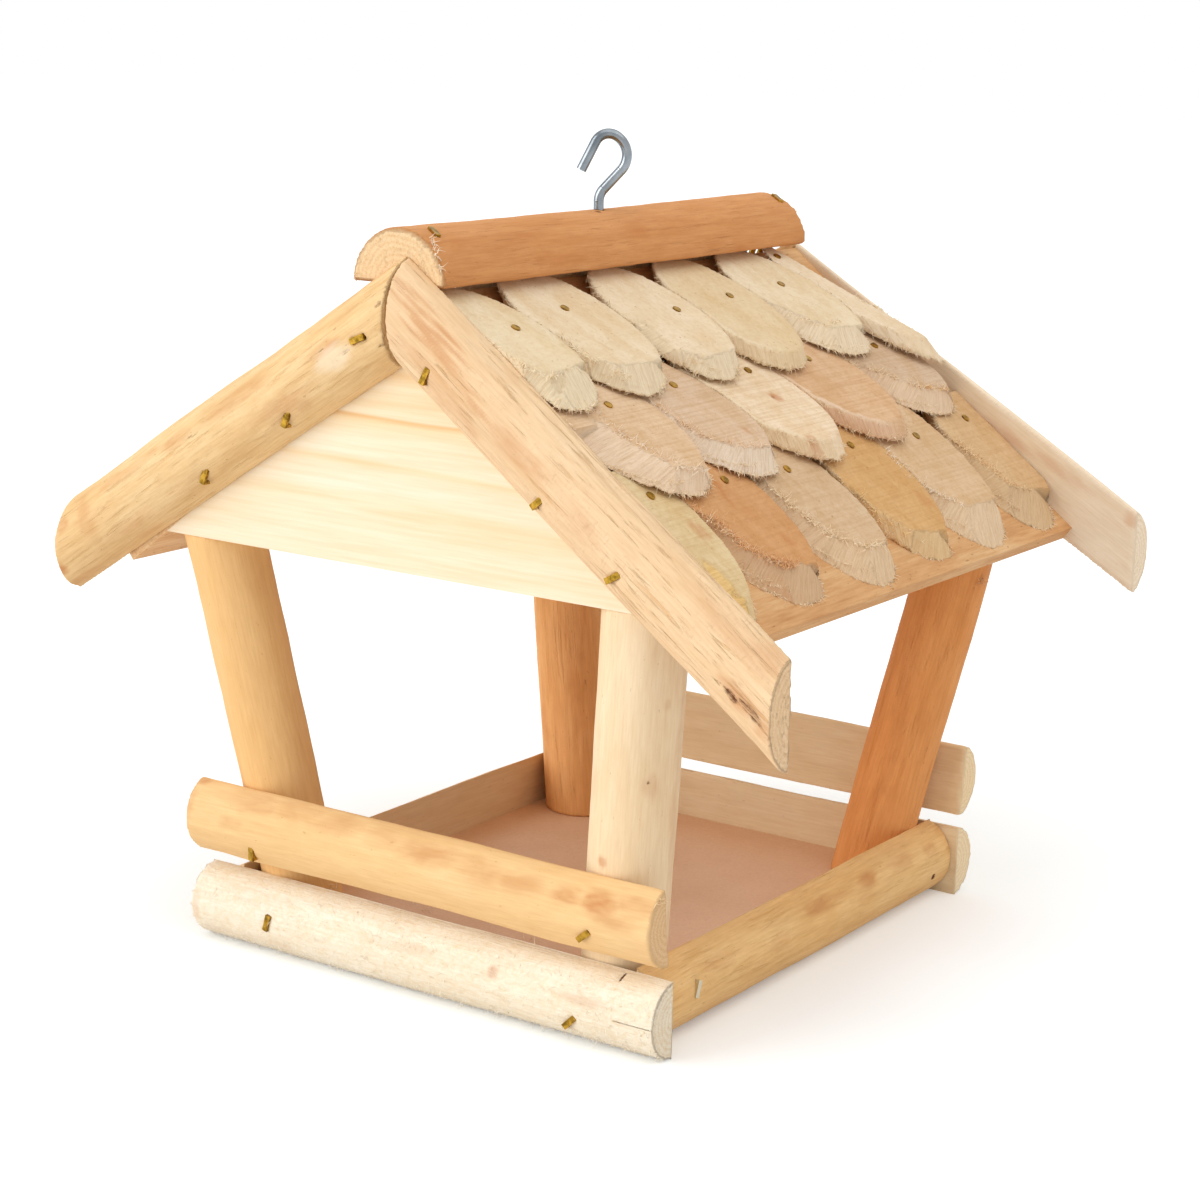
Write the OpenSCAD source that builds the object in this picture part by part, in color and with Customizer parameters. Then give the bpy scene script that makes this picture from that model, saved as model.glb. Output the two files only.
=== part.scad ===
// Hanging bird feeder: a rail-edged tray on four leaning posts under a shingled gable roof.
// Millimetres. X runs across the gable, Y to the back, Z up. The origin is on the ground
// under the middle of the feeder.

/* [Tray] */
// Distance between the flats of the two side rails
tray_w = 164; // [140:1:200]
// Distance between the flats of the front and back rails
tray_d = 197; // [160:1:230]
// How far the middle of the tray lies behind the middle of the roof
tray_shift = -5.5; // [-10:0.5:5]
// Height of the floor's underside above the ground
floor_lift = 2.5; // [1:0.5:6]
// Thickness of the hardboard floor
floor_t = 5; // [3:0.5:8]

/* [Rails] */
// Width of the front and back lower rails
lower_rail_w = 26; // [20:0.5:32]
// Depth of the front and back lower rails from flat to crest
lower_rail_depth = 12; // [8:0.5:13]
// Width of the front and back upper rails
upper_rail_w = 27.3; // [20:0.1:34]
// Depth of the front and back upper rails from flat to crest
upper_rail_depth = 11; // [8:0.5:13]
// Open gap between a lower rail and the upper rail above it
rail_gap = 4.1; // [2:0.1:10]
// Width of the side rails
side_rail_w = 27; // [20:0.5:32]
// Depth of the side rails from flat to crest
side_rail_depth = 10; // [8:0.5:13]
// How far the front rails reach past the side rails' flats
front_rail_reach = 14; // [11:0.5:24]
// How far the back rails reach past the side rails' flats
back_rail_reach = 12; // [11:0.5:24]
// Sideways shift of the front upper rail
upper_rail_shift = -1.5; // [-3:0.5:3]

/* [Posts] */
// Diameter of the front left post
post_front_left_d = 26.2; // [20:0.1:32]
// Diameter of the front right post
post_front_right_d = 27.8; // [20:0.1:32]
// Diameter of the back left post
post_back_left_d = 28.6; // [20:0.1:32]
// Diameter of the back right post
post_back_right_d = 26.6; // [20:0.1:32]
// Outward lean of the front left post, seen from the front
post_front_left_lean = 10.7; // [5:0.1:11]
// Outward lean of the front right post, seen from the front
post_front_right_lean = 6.4; // [4:0.1:11]
// Outward lean of the back left post, seen from the front
post_back_left_lean = 9.8; // [5:0.1:11]
// Outward lean of the back right post, seen from the front
post_back_right_lean = 11.3; // [5:0.1:11.5]
// How far the back posts' outermost lines end inside the back gable's outer face
post_back_set = 11.1; // [6:0.1:12]

/* [Gables] */
// Height of the gable boards' lower edge above the ground
gable_bottom = 144; // [120:1:180]
// Half of the gable boards' lower edge
gable_half_w = 105.7; // [104:0.1:120]
// Thickness of the gable boards
gable_t = 20; // [16:0.5:24]
// Slope of the roof
roof_slope = 37.5; // [34:0.5:42]
// Distance between the outer faces of the two gable boards
roof_d = 233; // [220:1:260]
// Sideways place of the gables' apex
apex_x = 1; // [-1:0.5:2]

/* [Roof panels] */
// Thickness of the roof panels
panel_t = 5.5; // [4:0.5:8]
// Distance from the apex to the left eave, level
left_panel_run = 121.7; // [118:0.1:130]
// Distance from the apex to the right eave, level
right_panel_run = 117; // [114:0.1:130]

/* [Rakes] */
// Width of the front rakes
front_rake_w = 28; // [24:0.5:32]
// Width of the back rakes
back_rake_w = 26; // [24:0.5:32]
// Depth of the rakes from flat to crest
rake_depth = 12; // [8:0.5:12.5]
// Slope of the front left rake
rake_front_left_slope = 32.8; // [31:0.1:36]
// Slope of the front right rake
rake_front_right_slope = 36.4; // [34:0.1:38]
// Slope of the back left rake
rake_back_left_slope = 32; // [30:0.1:36]
// Slope of the back right rake
rake_back_right_slope = 30.5; // [29:0.1:36]
// Distance from the middle of the feeder to the front left rake's plumb end
rake_front_left_end = 146; // [130:1:160]
// Distance from the middle of the feeder to the front right rake's plumb end
rake_front_right_end = 141; // [130:1:160]
// Distance from the middle of the feeder to the back left rake's plumb end
rake_back_left_end = 145; // [130:1:160]
// Distance from the middle of the feeder to the back right rake's plumb end
rake_back_right_end = 146; // [130:1:160]
// Height of the front left rake's middle line over the gables' apex
rake_front_left_rise = 3.9; // [-4:0.1:6]
// Height of the front right rake's middle line over the gables' apex
rake_front_right_rise = 0.9; // [-4:0.1:6]
// Height of the back left rake's middle line over the gables' apex
rake_back_left_rise = -4.1; // [-6:0.1:6]
// Height of the back right rake's middle line over the gables' apex
rake_back_right_rise = -5.6; // [-6:0.1:6]
// How far the front right rake's cut lies past the middle of the feeder
rake_seam_shift = 1; // [0:0.1:1]
// Gap between the cuts of the two front rakes
rake_seam_gap = 1.2; // [1.1:0.1:3]
// Lean of the front left rake's cut
rake_seam_lean = -3; // [-3:0.5:8]
// Gap between the cuts of the two back rakes
back_seam_gap = 0.8; // [0.2:0.1:2]

/* [Ridge log] */
// Width of the ridge log's flat
ridge_w = 37; // [30:0.5:44]
// Height of the ridge log from flat to crest
ridge_h = 17.6; // [12:0.1:18]
// How far the ridge log stops short of the back gable's outer face
ridge_short = 12.5; // [0:0.5:16]
// Sideways shift of the ridge log from the apex
ridge_shift = -6.5; // [-8:0.5:2]

/* [Hook] */
// Diameter of the hook's zinc wire
hook_wire_d = 3.5; // [2:0.1:4.5]
// Distance of the hook in front of the middle of the roof
hook_forward = 7.2; // [-20:0.1:20]
// Turn of the hook's plane about the upright
hook_turn = 34; // [0:1:90]
// Length of the hook's shank in the ridge log
hook_shank = 13; // [8:0.5:14]
// Height of the straight neck above the ridge log
hook_neck = 2.8; // [1:0.1:8]
// Radius of the bend above the neck
neck_bend_r = 6; // [4:0.1:10]
// Turn of the bend above the neck
neck_bend = 42; // [20:1:60]
// Length of the straight between the two bends
hook_rise = 8.6; // [4:0.1:14]
// Radius of the first part of the bowl
bowl_r = 7.6; // [6:0.1:12]
// Turn of the first part of the bowl
bowl_bend = 102; // [80:1:120]
// Radius of the second part of the bowl
crown_r = 5; // [4:0.1:10]
// Turn of the second part of the bowl
crown_bend = 94; // [70:1:110]
// Length of the straight tip
hook_tip = 10.7; // [4:0.1:16]

/* [Shingles] */
// Thickness of the top row's slices
top_row_t = 5; // [4:0.1:7]
// Thickness of the middle row's slices
middle_row_t = 5.5; // [4:0.1:7]
// Thickness of the bottom row's slices
bottom_row_t = 6; // [4:0.1:7]
// Angle between the branch and the square to the cut, top row
top_row_cut = 44; // [38:1:54]
// Angle between the branch and the square to the cut, middle row
middle_row_cut = 48; // [40:1:56]
// Angle between the branch and the square to the cut, bottom row
bottom_row_cut = 52; // [44:1:58]
// Distance down the slope at which the top row starts
top_row_start = 0.5; // [0.5:0.1:2]
// Distance down the slope at which the top row's undersides meet the panel
top_row_seat = 4; // [3:0.1:8]
// Distance down the slope at which the middle row starts
middle_row_start = 35; // [30:0.5:45]
// Distance down the slope at which the bottom row starts
bottom_row_start = 85; // [78:0.5:92]
// Angle between the branch and the square to the cut, top row's last slice
last_slice_cut = 66; // [56:1:68]
// Place along the eave at which the top row's last slice is trimmed at its seat
last_slice_trim = 91.5; // [88:0.5:100]
// Turn of the trimmed edge of the top row's last slice
last_slice_turn = 14; // [8:0.5:20]
// Clearance between a slice and its neighbour
slice_gap = 0.2; // [0.1:0.05:0.5]
// Clearance where one row lies on the next, and under the ridge log
lap_gap = 0.1; // [0.05:0.05:0.5]

/* [Fasteners] */
// Length of a staple's crown
staple_crown = 5.8; // [4:0.1:8]
// Width of the staple's flat wire
staple_wire_w = 2; // [1:0.1:2.5]
// Thickness of the staple's flat wire
staple_wire_t = 1.2; // [0.8:0.1:1.6]
// Length of a rail or rake staple's legs
staple_leg = 16; // [13:0.5:18]
// Length of a ridge staple's legs
ridge_staple_leg = 25; // [20:0.5:27]
// How far a staple's crown stands out of the wood
staple_proud = 0.6; // [0.1:0.1:1]
// Diameter of a shingle nail's head
nail_head_d = 3; // [2:0.1:4]
// Thickness of a shingle nail's head
nail_head_t = 0.8; // [0.4:0.1:1.2]
// How far a shingle nail's head stands out of the wood
nail_proud = 0.3; // [0.1:0.1:0.6]
// Diameter of a shingle nail
nail_d = 1.5; // [1:0.1:2]
// Length of a shingle nail under its head
nail_len = 11; // [9:0.5:11]
// Diameter of a floor screw
screw_d = 3.5; // [2.5:0.1:5]
// Diameter of a floor screw's countersunk head
screw_head_d = 7; // [6:0.1:9]
// Length of a floor screw
screw_len = 28; // [20:1:40]
// Diameter of a headless pin between a post and its gable board
pin_d = 3; // [2:0.1:4]
// Length of a pin in the post
pin_below = 12; // [8:0.5:12]
// Length of a pin in the gable board
pin_above = 5; // [3:0.5:6]
// Distance of the pins from the gable boards' inner faces
pin_edge = 4.5; // [3.5:0.5:6]
// Diameter of a roof panel nail
panel_nail_d = 1.8; // [1.2:0.1:2.5]
// Diameter of a roof panel nail's flush head
panel_nail_head_d = 4; // [3:0.1:5]
// Thickness of a roof panel nail's flush head
panel_nail_head_t = 0.8; // [0.5:0.1:1.5]
// Length of a roof panel nail
panel_nail_len = 18; // [12:0.5:20]
// Clearance of a fastener in its hole, on each side
hole_fit = 0.1; // [0.05:0.05:0.2]

/* [Hidden] */
$fn = 64;

pale = "#e9cfa6";
cream = "#efdcbc";
golden = "#d9a566";
orange_wood = "#c98d55";
pinkish = "#dcb48f";
board_brown = "#b98a5e";
brass = "#b38a2e";
zinc = "#9aa2a8";

// A cutting block that is larger than the feeder
far = 400;

// Tray
tray_front = tray_shift - tray_d / 2;
tray_back = tray_shift + tray_d / 2;
tray_side = tray_w / 2;
floor_top = floor_lift + floor_t;
upper_rail_z = lower_rail_w + rail_gap;
front_rail_len = tray_w + 2 * front_rail_reach;
back_rail_len = tray_w + 2 * back_rail_reach;

// Roof
roof_half_d = roof_d / 2;
gable_h = gable_half_w * tan(roof_slope);
apex_z = gable_bottom + gable_h;
panel_top_z = apex_z + panel_t / cos(roof_slope);

// The front posts' outermost lines end at the front gable's face, the back posts' a little
// inside the back one's. Such a line starts at the lower rail's top edge, or where it leans
// inwards at the floor.
function lean_base(lean) = lean > 0 ? lower_rail_w : floor_top;
function end_lean(reach) = atan(reach / (gable_bottom - lean_base(reach)));
front_lean = end_lean(roof_half_d + tray_front);
back_lean = end_lean(roof_half_d - post_back_set - tray_back);

// Each post: side of X, side of Y, diameter, lean across, lean along Y
POST_FL = [-1, -1, post_front_left_d, post_front_left_lean, front_lean];
POST_FR = [1, -1, post_front_right_d, post_front_right_lean, front_lean];
POST_BL = [-1, 1, post_back_left_d, post_back_left_lean, back_lean];
POST_BR = [1, 1, post_back_right_d, post_back_right_lean, back_lean];
POSTS = [POST_FL, POST_FR, POST_BL, POST_BR];

// A post touches the side rail's top edge and the front or back lower rail's top edge.
function post_foot_x(p) =
    p[0] * (tray_side - tan(p[3]) * (side_rail_w - floor_top) - p[2] / 2 / cos(p[3]));
function post_foot_y(p) =
    (p[1] < 0 ? tray_front : tray_back)
    - p[1] * (tan(p[4]) * (lean_base(p[4]) - floor_top) + p[2] / 2 / cos(p[4]));
function post_x(p, z) = post_foot_x(p) + p[0] * tan(p[3]) * (z - floor_top);

// Radius of a split log from the width of its flat and its depth
function log_r(width, depth) = (width * width / 4 + depth * depth) / (2 * depth);
// Height of a split log's round face above its flat at a distance from its middle line
function log_rise(width, depth, off) =
    depth - log_r(width, depth) + sqrt(pow(log_r(width, depth), 2) - off * off);

// Rows of slices: thickness, cut angle, tilt, start, seat
bottom_row_tilt = 0;
middle_row_tilt = atan((bottom_row_t + lap_gap) / (bottom_row_start - middle_row_start));
middle_row_step = middle_row_t / cos(middle_row_tilt);
top_row_tilt = atan((middle_row_step + lap_gap) / (middle_row_start - top_row_seat));
ROW_SHAPES = [
    [top_row_t, top_row_cut, top_row_tilt, top_row_start, top_row_seat],
    [middle_row_t, middle_row_cut, middle_row_tilt, middle_row_start, middle_row_start],
    [bottom_row_t, bottom_row_cut, bottom_row_tilt, bottom_row_start, bottom_row_start]
];

// Each slice: place along the eave, branch diameter, how far down the slope its tip
// reaches, turn of the branch, and its nail's place down the slope and along the eave
TOP_ROW = [
    [-107, 43, 65, 6, 27, -99],
    [-65.5, 46, 64, 0, 21, -65],
    [-20.5, 43, 64, 0, 30, -11],
    [20, 45, 66, 0, 27, 27],
    [63.5, 45, 65, 12, 25, 65],
    [96, 28, 77, 18, 9, 86]
];
MIDDLE_ROW = [
    [-93, 46, 103.5, 22, 63, -89],
    [-52, 42, 103, 25, 60, -48],
    [-11, 45, 103.5, 28, 60, -2],
    [34, 46, 102, 32, 60, 38],
    [81, 44, 96, 30, 60, 86]
];
BOTTOM_ROW = [
    [-111, 43, 150, 8, 97, -103],
    [-71, 45, 148, 15, 98, -62],
    [-26, 41, 150, 15, 100, -26],
    [18, 41, 148, 10, 97, 20],
    [57.5, 45, 150, 6, 100, 63],
    [103, 42, 150, -5, 98, 104]
];
ROWS = [TOP_ROW, MIDDLE_ROW, BOTTOM_ROW];

ridge_seat = panel_top_z - top_row_start * sin(roof_slope)
    + cos(roof_slope) * (top_row_t / cos(top_row_tilt)
        - tan(top_row_tilt) * (top_row_seat - top_row_start) + lap_gap);
ridge_x = apex_x + ridge_shift;
ridge_len = roof_d - ridge_short;

// Rail staples, at a left and at a right post: place beside the post's middle line, height
// above the rail's lower edge, turn of the crown
LOWER_RAIL_STAPLES = [[5, 13.4, 75], [-1.4, 8.2, 45]];
UPPER_RAIL_STAPLES = [[1.7, 7.5, 85], [0.1, 9.3, 40]];
SIDE_RAIL_STAPLE = [5, 16, 70];
// Rake staples: place along the rake, place across it, turn of the crown
FRONT_LEFT_RAKE_STAPLES = [[15.5, -2, 10], [58, -9, 143], [100, -9, 143]];
FRONT_RIGHT_RAKE_STAPLES = [[21, -4.5, 98], [75.5, -6.5, 76], [109.5, -5, 66]];
BACK_RAKE_STAPLES = [[16, -3, 70], [58, -6, 60], [100, -7, 75]];
// Ridge staples: distances inside the gables' outer faces, place beside the crest, turn
ridge_staple_front = 9;
ridge_staple_back = 16;
RIDGE_STAPLES = [ridge_staple_front - roof_half_d, roof_half_d - ridge_staple_back];
ridge_staple_off = 7;
ridge_staple_turn = -25;

// Roof panel nails: places down the slope
PANEL_NAIL_PLACES = [15, 110];
panel_nail_inset = gable_t / 2;
pin_inset = gable_t - pin_edge;

// How far a bead between two lengths of wire stands out, across the wire
bead = 0.06;

SIDES = ["right", "left"];
ROW_NAMES = ["top", "middle", "bottom"];
function slice_name(side, row, i) =
    str(SIDES[side], "_", ROW_NAMES[row], "_shingle_", i + 1);
SHINGLE_NODES = [
    for (side = [0, 1]) for (row = [0:2]) for (i = [0:len(ROWS[row]) - 1]) slice_name(side, row, i)
];

// A split log along +X with its flat on y = 0 and its round face towards -Y
module split_log(length, width, depth) {
    r = log_r(width, depth);
    intersection() {
        translate([0, r - depth, 0]) rotate([0, 90, 0]) cylinder(r = r, h = length);
        translate([-1, -far / 2, -far / 2]) cube([length + 2, far / 2, far]);
    }
}

// A staple with its crown along X and its legs down, in wood whose surface is at z = 0
module staple(leg, grow = 0) {
    w = staple_wire_w + 2 * grow;
    t = staple_wire_t + 2 * grow;
    span = staple_crown + 2 * grow;
    top = staple_proud + grow;
    translate([-span / 2, -w / 2, top - t]) cube([span, w, t]);
    for (x = [-span / 2, span / 2 - t])
        translate([x, -w / 2, -leg - grow]) cube([t, w, leg + top + grow]);
}

module mirror_if(on, axis) {
    if (on) mirror(axis) children();
    else children();
}

// Tray
module floor_panel() {
    color(pinkish) difference() {
        translate([-tray_side, tray_front, floor_lift]) cube([tray_w, tray_d, floor_t]);
        floor_screws(hole_fit);
        rail_staple_set(hole_fit);
    }
}

// Places a child on the front or back of the tray, with y = 0 on the rail's flat
module on_tray_end(end) {
    translate([0, end < 0 ? tray_front : tray_back, 0]) mirror_if(end > 0, [0, 1, 0]) children();
}

// Places a child on the leaning line of the posts at the height of the upper rail's lower edge
module on_upper_rail(end) {
    lean = end < 0 ? front_lean : back_lean;
    on_tray_end(end)
        translate([0, -(upper_rail_z - lean_base(lean)) * tan(lean), upper_rail_z])
            rotate([lean, 0, 0]) children();
}

module lower_rail(end, length) {
    on_tray_end(end)
        translate([-length / 2, 0, lower_rail_w / 2])
            split_log(length, lower_rail_w, lower_rail_depth);
}

module upper_rail(end, length, shift) {
    on_upper_rail(end)
        translate([shift - length / 2, 0, upper_rail_w / 2])
            split_log(length, upper_rail_w, upper_rail_depth);
}

module front_lower_rail() {
    color(cream) difference() {
        lower_rail(-1, front_rail_len);
        rail_staple_set(hole_fit);
    }
}

module front_upper_rail() {
    color(golden) difference() {
        upper_rail(-1, front_rail_len, upper_rail_shift);
        rail_staple_set(hole_fit);
    }
}

module back_lower_rail() {
    color(pinkish) difference() {
        lower_rail(1, back_rail_len);
        rail_staple_set(hole_fit);
    }
}

module back_upper_rail() {
    color(pinkish) difference() {
        upper_rail(1, back_rail_len, 0);
        rail_staple_set(hole_fit);
    }
}

// Places a child on the side of the tray, with y = 0 on the rail's flat and X along the rail
module on_tray_side(side) {
    mirror_if(side < 0, [1, 0, 0]) translate([tray_side, 0, 0]) rotate([0, 0, 90]) children();
}

module side_rail(side) {
    on_tray_side(side)
        translate([tray_front, 0, side_rail_w / 2])
            split_log(tray_d, side_rail_w, side_rail_depth);
}

module left_side_rail() {
    color(golden) difference() {
        side_rail(-1);
        rail_staple_set(hole_fit);
    }
}

module right_side_rail() {
    color(golden) difference() {
        side_rail(1);
        rail_staple_set(hole_fit);
    }
}

// Posts
module post(p) {
    across = p[0] * tan(p[3]);
    along = p[1] * tan(p[4]);
    difference() {
        intersection() {
            translate([post_foot_x(p), post_foot_y(p), floor_top])
                rotate([0, 0, atan2(along, across)])
                    rotate([0, atan(norm([across, along])), 0])
                        translate([0, 0, -far / 4]) cylinder(d = p[2], h = far);
            translate([-far / 2, -far / 2, floor_top]) cube([far, far, gable_bottom - floor_top]);
        }
        floor_screws(hole_fit);
        post_pins(hole_fit);
        rail_staple_set(hole_fit);
    }
}

module front_left_post() { color(golden) post(POST_FL); }
module front_right_post() { color(cream) post(POST_FR); }
module back_left_post() { color(orange_wood) post(POST_BL); }
module back_right_post() { color(orange_wood) post(POST_BR); }

// Gable boards and roof panels
module gable_board(end) {
    y0 = end < 0 ? -roof_half_d : roof_half_d - gable_t;
    difference() {
        translate([apex_x, y0 + gable_t, gable_bottom]) rotate([90, 0, 0])
            linear_extrude(gable_t)
                polygon([[-gable_half_w, 0], [gable_half_w, 0], [0, gable_h]]);
        post_pins(hole_fit);
        panel_nail_set(hole_fit);
        rake_staple_set(hole_fit);
        ridge_staple_set(hole_fit);
    }
}

module front_gable_board() { color(pale) gable_board(-1); }
module back_gable_board() { color(pale) gable_board(1); }

// Slope frames: X down the slope from the panels' top edge, Y along the eave, Z square to the slope
module on_slope(side) {
    translate([apex_x, 0, panel_top_z])
        mirror_if(side == 1, [1, 0, 0]) rotate([0, roof_slope, 0]) children();
}

module roof_panel(side, run) {
    rise_x = panel_t * sin(roof_slope);
    rise_z = panel_t * cos(roof_slope);
    eave_z = -run * tan(roof_slope);
    difference() {
        translate([apex_x, roof_half_d, apex_z]) mirror_if(side == 1, [1, 0, 0])
            rotate([90, 0, 0]) linear_extrude(roof_d)
                polygon([
                    [0, 0],
                    [run, eave_z],
                    [run + rise_x, eave_z + rise_z],
                    [0, panel_t / cos(roof_slope)]
                ]);
        panel_nail_set(hole_fit);
        rake_staple_set(hole_fit);
        ridge_staple_set(hole_fit);
        slope_nails(side, hole_fit);
    }
}

module left_roof_panel() { color(board_brown) roof_panel(1, left_panel_run); }
module right_roof_panel() { color(board_brown) roof_panel(0, right_panel_run); }

// Rakes. Each: side of X, side of Y, slope, end, seam, lean of the seam, width,
// height at the middle of the feeder, staples
RAKE_FL = [-1, -1, rake_front_left_slope, rake_front_left_end,
    rake_seam_shift + rake_seam_gap, rake_seam_lean,
    front_rake_w, apex_z + rake_front_left_rise, FRONT_LEFT_RAKE_STAPLES];
RAKE_FR = [1, -1, rake_front_right_slope, rake_front_right_end, -rake_seam_shift, 0,
    front_rake_w, apex_z + rake_front_right_rise, FRONT_RIGHT_RAKE_STAPLES];
RAKE_BL = [-1, 1, rake_back_left_slope, rake_back_left_end, back_seam_gap / 2, 0,
    back_rake_w, apex_z + rake_back_left_rise, BACK_RAKE_STAPLES];
RAKE_BR = [1, 1, rake_back_right_slope, rake_back_right_end, back_seam_gap / 2, 0,
    back_rake_w, apex_z + rake_back_right_rise, BACK_RAKE_STAPLES];
RAKES = [RAKE_FL, RAKE_FR, RAKE_BL, RAKE_BR];

// Places a child on a gable's face: y = 0 on the face, X down the rake's middle line
module on_rake(r) {
    mirror_if(r[0] < 0, [1, 0, 0]) mirror_if(r[1] > 0, [0, 1, 0])
        translate([0, -roof_half_d, r[7]]) rotate([0, r[2], 0]) children();
}

module rake(r) {
    difference() {
        intersection() {
            on_rake(r) translate([-far / 8, 0, 0]) split_log(far, r[6], rake_depth);
            mirror_if(r[0] < 0, [1, 0, 0]) {
                intersection() {
                    translate([-far / 2, -far, 0]) cube([far / 2 + r[3], 2 * far, far]);
                    translate([r[4], 0, r[7]]) rotate([0, r[5], 0])
                        translate([0, -far, -far]) cube([far, 2 * far, 2 * far]);
                }
            }
        }
        rake_staple_set(hole_fit);
    }
}

module front_left_rake() { color(golden) rake(RAKE_FL); }
module front_right_rake() { color(pale) rake(RAKE_FR); }
module back_left_rake() { color(pale) rake(RAKE_BL); }
module back_right_rake() { color(pinkish) rake(RAKE_BR); }

// Ridge log and hook
module ridge_log() {
    color(orange_wood) difference() {
        translate([ridge_x, -roof_half_d, ridge_seat]) rotate([0, 0, 90]) rotate([-90, 0, 0])
            split_log(ridge_len, ridge_w, ridge_h);
        ridge_staple_set(hole_fit);
        translate([ridge_x, -hook_forward, ridge_seat + ridge_h - hook_shank - hole_fit])
            cylinder(d = hook_wire_d + 2 * hole_fit, h = far);
    }
}

// A straight length of wire; what follows starts at its end, in a hair-thin bead
module wire_straight(length) {
    cylinder(d = hook_wire_d, h = length);
    translate([0, 0, length]) {
        if ($children > 0) sphere(d = hook_wire_d + bead);
        children();
    }
}

// A bend of the wire towards +X; what follows starts at its end
module wire_bend(r, angle) {
    translate([r, 0, 0]) rotate([90, 0, 0]) rotate([0, 0, 180 - angle])
        rotate_extrude(angle = angle) translate([r, 0]) circle(d = hook_wire_d);
    translate([r - r * cos(angle), 0, r * sin(angle)]) rotate([0, angle, 0]) {
        sphere(d = hook_wire_d + bead);
        children();
    }
}

module hanging_hook() {
    color(zinc)
        translate([ridge_x, -hook_forward, ridge_seat + ridge_h - hook_shank])
            rotate([0, 0, hook_turn])
                wire_straight(hook_shank + hook_neck)
                    wire_bend(neck_bend_r, neck_bend)
                        wire_straight(hook_rise)
                            rotate([0, 0, 180])
                                wire_bend(bowl_r, bowl_bend)
                                    wire_bend(crown_r, crown_bend)
                                        wire_straight(hook_tip);
}

// Shingles. A row's slab starts at its seat and tilts up towards the eave.
module on_row(row) {
    shape = ROW_SHAPES[row];
    translate([shape[4], 0, 0]) rotate([0, -shape[2], 0]) children();
}

// Whether a slice is the top row's last one, which is sawn from a thinner branch and trimmed
function is_last(row, i) = row == 0 && i == len(TOP_ROW) - 1;

// The slanting branch from which a slice is sawn, in its row's frame
module branch(row, i, grow = 0) {
    shape = ROW_SHAPES[row];
    slice = ROWS[row][i];
    r = slice[1] / 2;
    turn = slice[3];
    cut = is_last(row, i) ? last_slice_cut : shape[1];
    run = shape[0] * tan(cut);
    reach = norm([r / cos(cut) * cos(turn), r * sin(turn)]);
    middle = (slice[2] - shape[4]) / cos(shape[2]) - run * cos(turn) - reach;
    translate([middle, slice[0], shape[0]]) rotate([0, 0, turn]) rotate([0, -cut, 0])
        cylinder(r = r + grow, h = far / 2, center = true);
}

module slice_body(row, i) {
    shape = ROW_SHAPES[row];
    intersection() {
        on_row(row) difference() {
            intersection() {
                branch(row, i);
                translate([-far / 8, -roof_half_d, 0]) cube([far, roof_d, shape[0]]);
            }
            if (i > 0) branch(row, i - 1, slice_gap);
            if (is_last(row, i))
                translate([0, last_slice_trim, -1]) rotate([0, 0, last_slice_turn])
                    translate([-far / 2, 0, 0]) cube([far, far, far]);
        }
        translate([shape[3], -far / 2, 0]) cube([far, far, far / 4]);
    }
}

module shingle(side, row, i) {
    difference() {
        on_slope(side) difference() {
            slice_body(row, i);
            shingle_nail(row, i, hole_fit);
        }
        if (row == 0) ridge_staple_set(hole_fit);
    }
}

row_colors = [cream, pinkish, golden];

// Fasteners
module shingle_nail(row, i, grow = 0) {
    shape = ROW_SHAPES[row];
    slice = ROWS[row][i];
    on_row(row)
        translate([(slice[4] - shape[4]) / cos(shape[2]), slice[5], shape[0] + nail_proud]) {
            translate([0, 0, -nail_head_t - grow])
                cylinder(d = nail_head_d + 2 * grow, h = nail_head_t + 2 * grow);
            translate([0, 0, -nail_proud - nail_len - grow])
                cylinder(d = nail_d + 2 * grow, h = nail_len);
        }
}

module slope_nails(side, grow = 0) {
    on_slope(side)
        for (row = [0:2]) for (i = [0:len(ROWS[row]) - 1]) shingle_nail(row, i, grow);
}

module shingle_nails() {
    color(brass) for (side = [0, 1]) slope_nails(side);
}

// A staple in a rail's round face, beside a post's middle line
module rail_staple(width, depth, middle, place, grow) {
    off = place[1] - width / 2;
    translate([middle + place[0], -log_rise(width, depth, off), place[1]]) rotate([90, 0, 0])
        rotate([0, 0, place[2]]) staple(staple_leg, grow);
}

module rail_staple_set(grow = 0) {
    for (p = POSTS) {
        low = LOWER_RAIL_STAPLES[p[0] < 0 ? 0 : 1];
        high = UPPER_RAIL_STAPLES[p[0] < 0 ? 0 : 1];
        on_tray_end(p[1])
            rail_staple(lower_rail_w, lower_rail_depth, post_x(p, low[1]), low, grow);
        on_upper_rail(p[1])
            rail_staple(upper_rail_w, upper_rail_depth, post_x(p, upper_rail_z + high[1]), high, grow);
    }
    for (p = [POST_FL, POST_FR])
        on_tray_side(p[0])
            rail_staple(side_rail_w, side_rail_depth, post_foot_y(p), SIDE_RAIL_STAPLE, grow);
}

module rail_staples() {
    color(brass) rail_staple_set();
}

module rake_staple_set(grow = 0) {
    for (r = RAKES) on_rake(r) for (place = r[8])
        translate([place[0], -log_rise(r[6], rake_depth, place[1]), place[1]])
            rotate([90, 0, 0]) rotate([0, 0, place[2]]) staple(staple_leg, grow);
}

module ridge_staple_set(grow = 0) {
    r = log_r(ridge_w, ridge_h);
    for (y = RIDGE_STAPLES)
        translate([ridge_x, y, ridge_seat + ridge_h - r]) rotate([0, asin(ridge_staple_off / r), 0])
            translate([0, 0, r]) rotate([0, 0, ridge_staple_turn]) staple(ridge_staple_leg, grow);
}

module roof_staples() {
    color(brass) {
        rake_staple_set();
        ridge_staple_set();
    }
}

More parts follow.
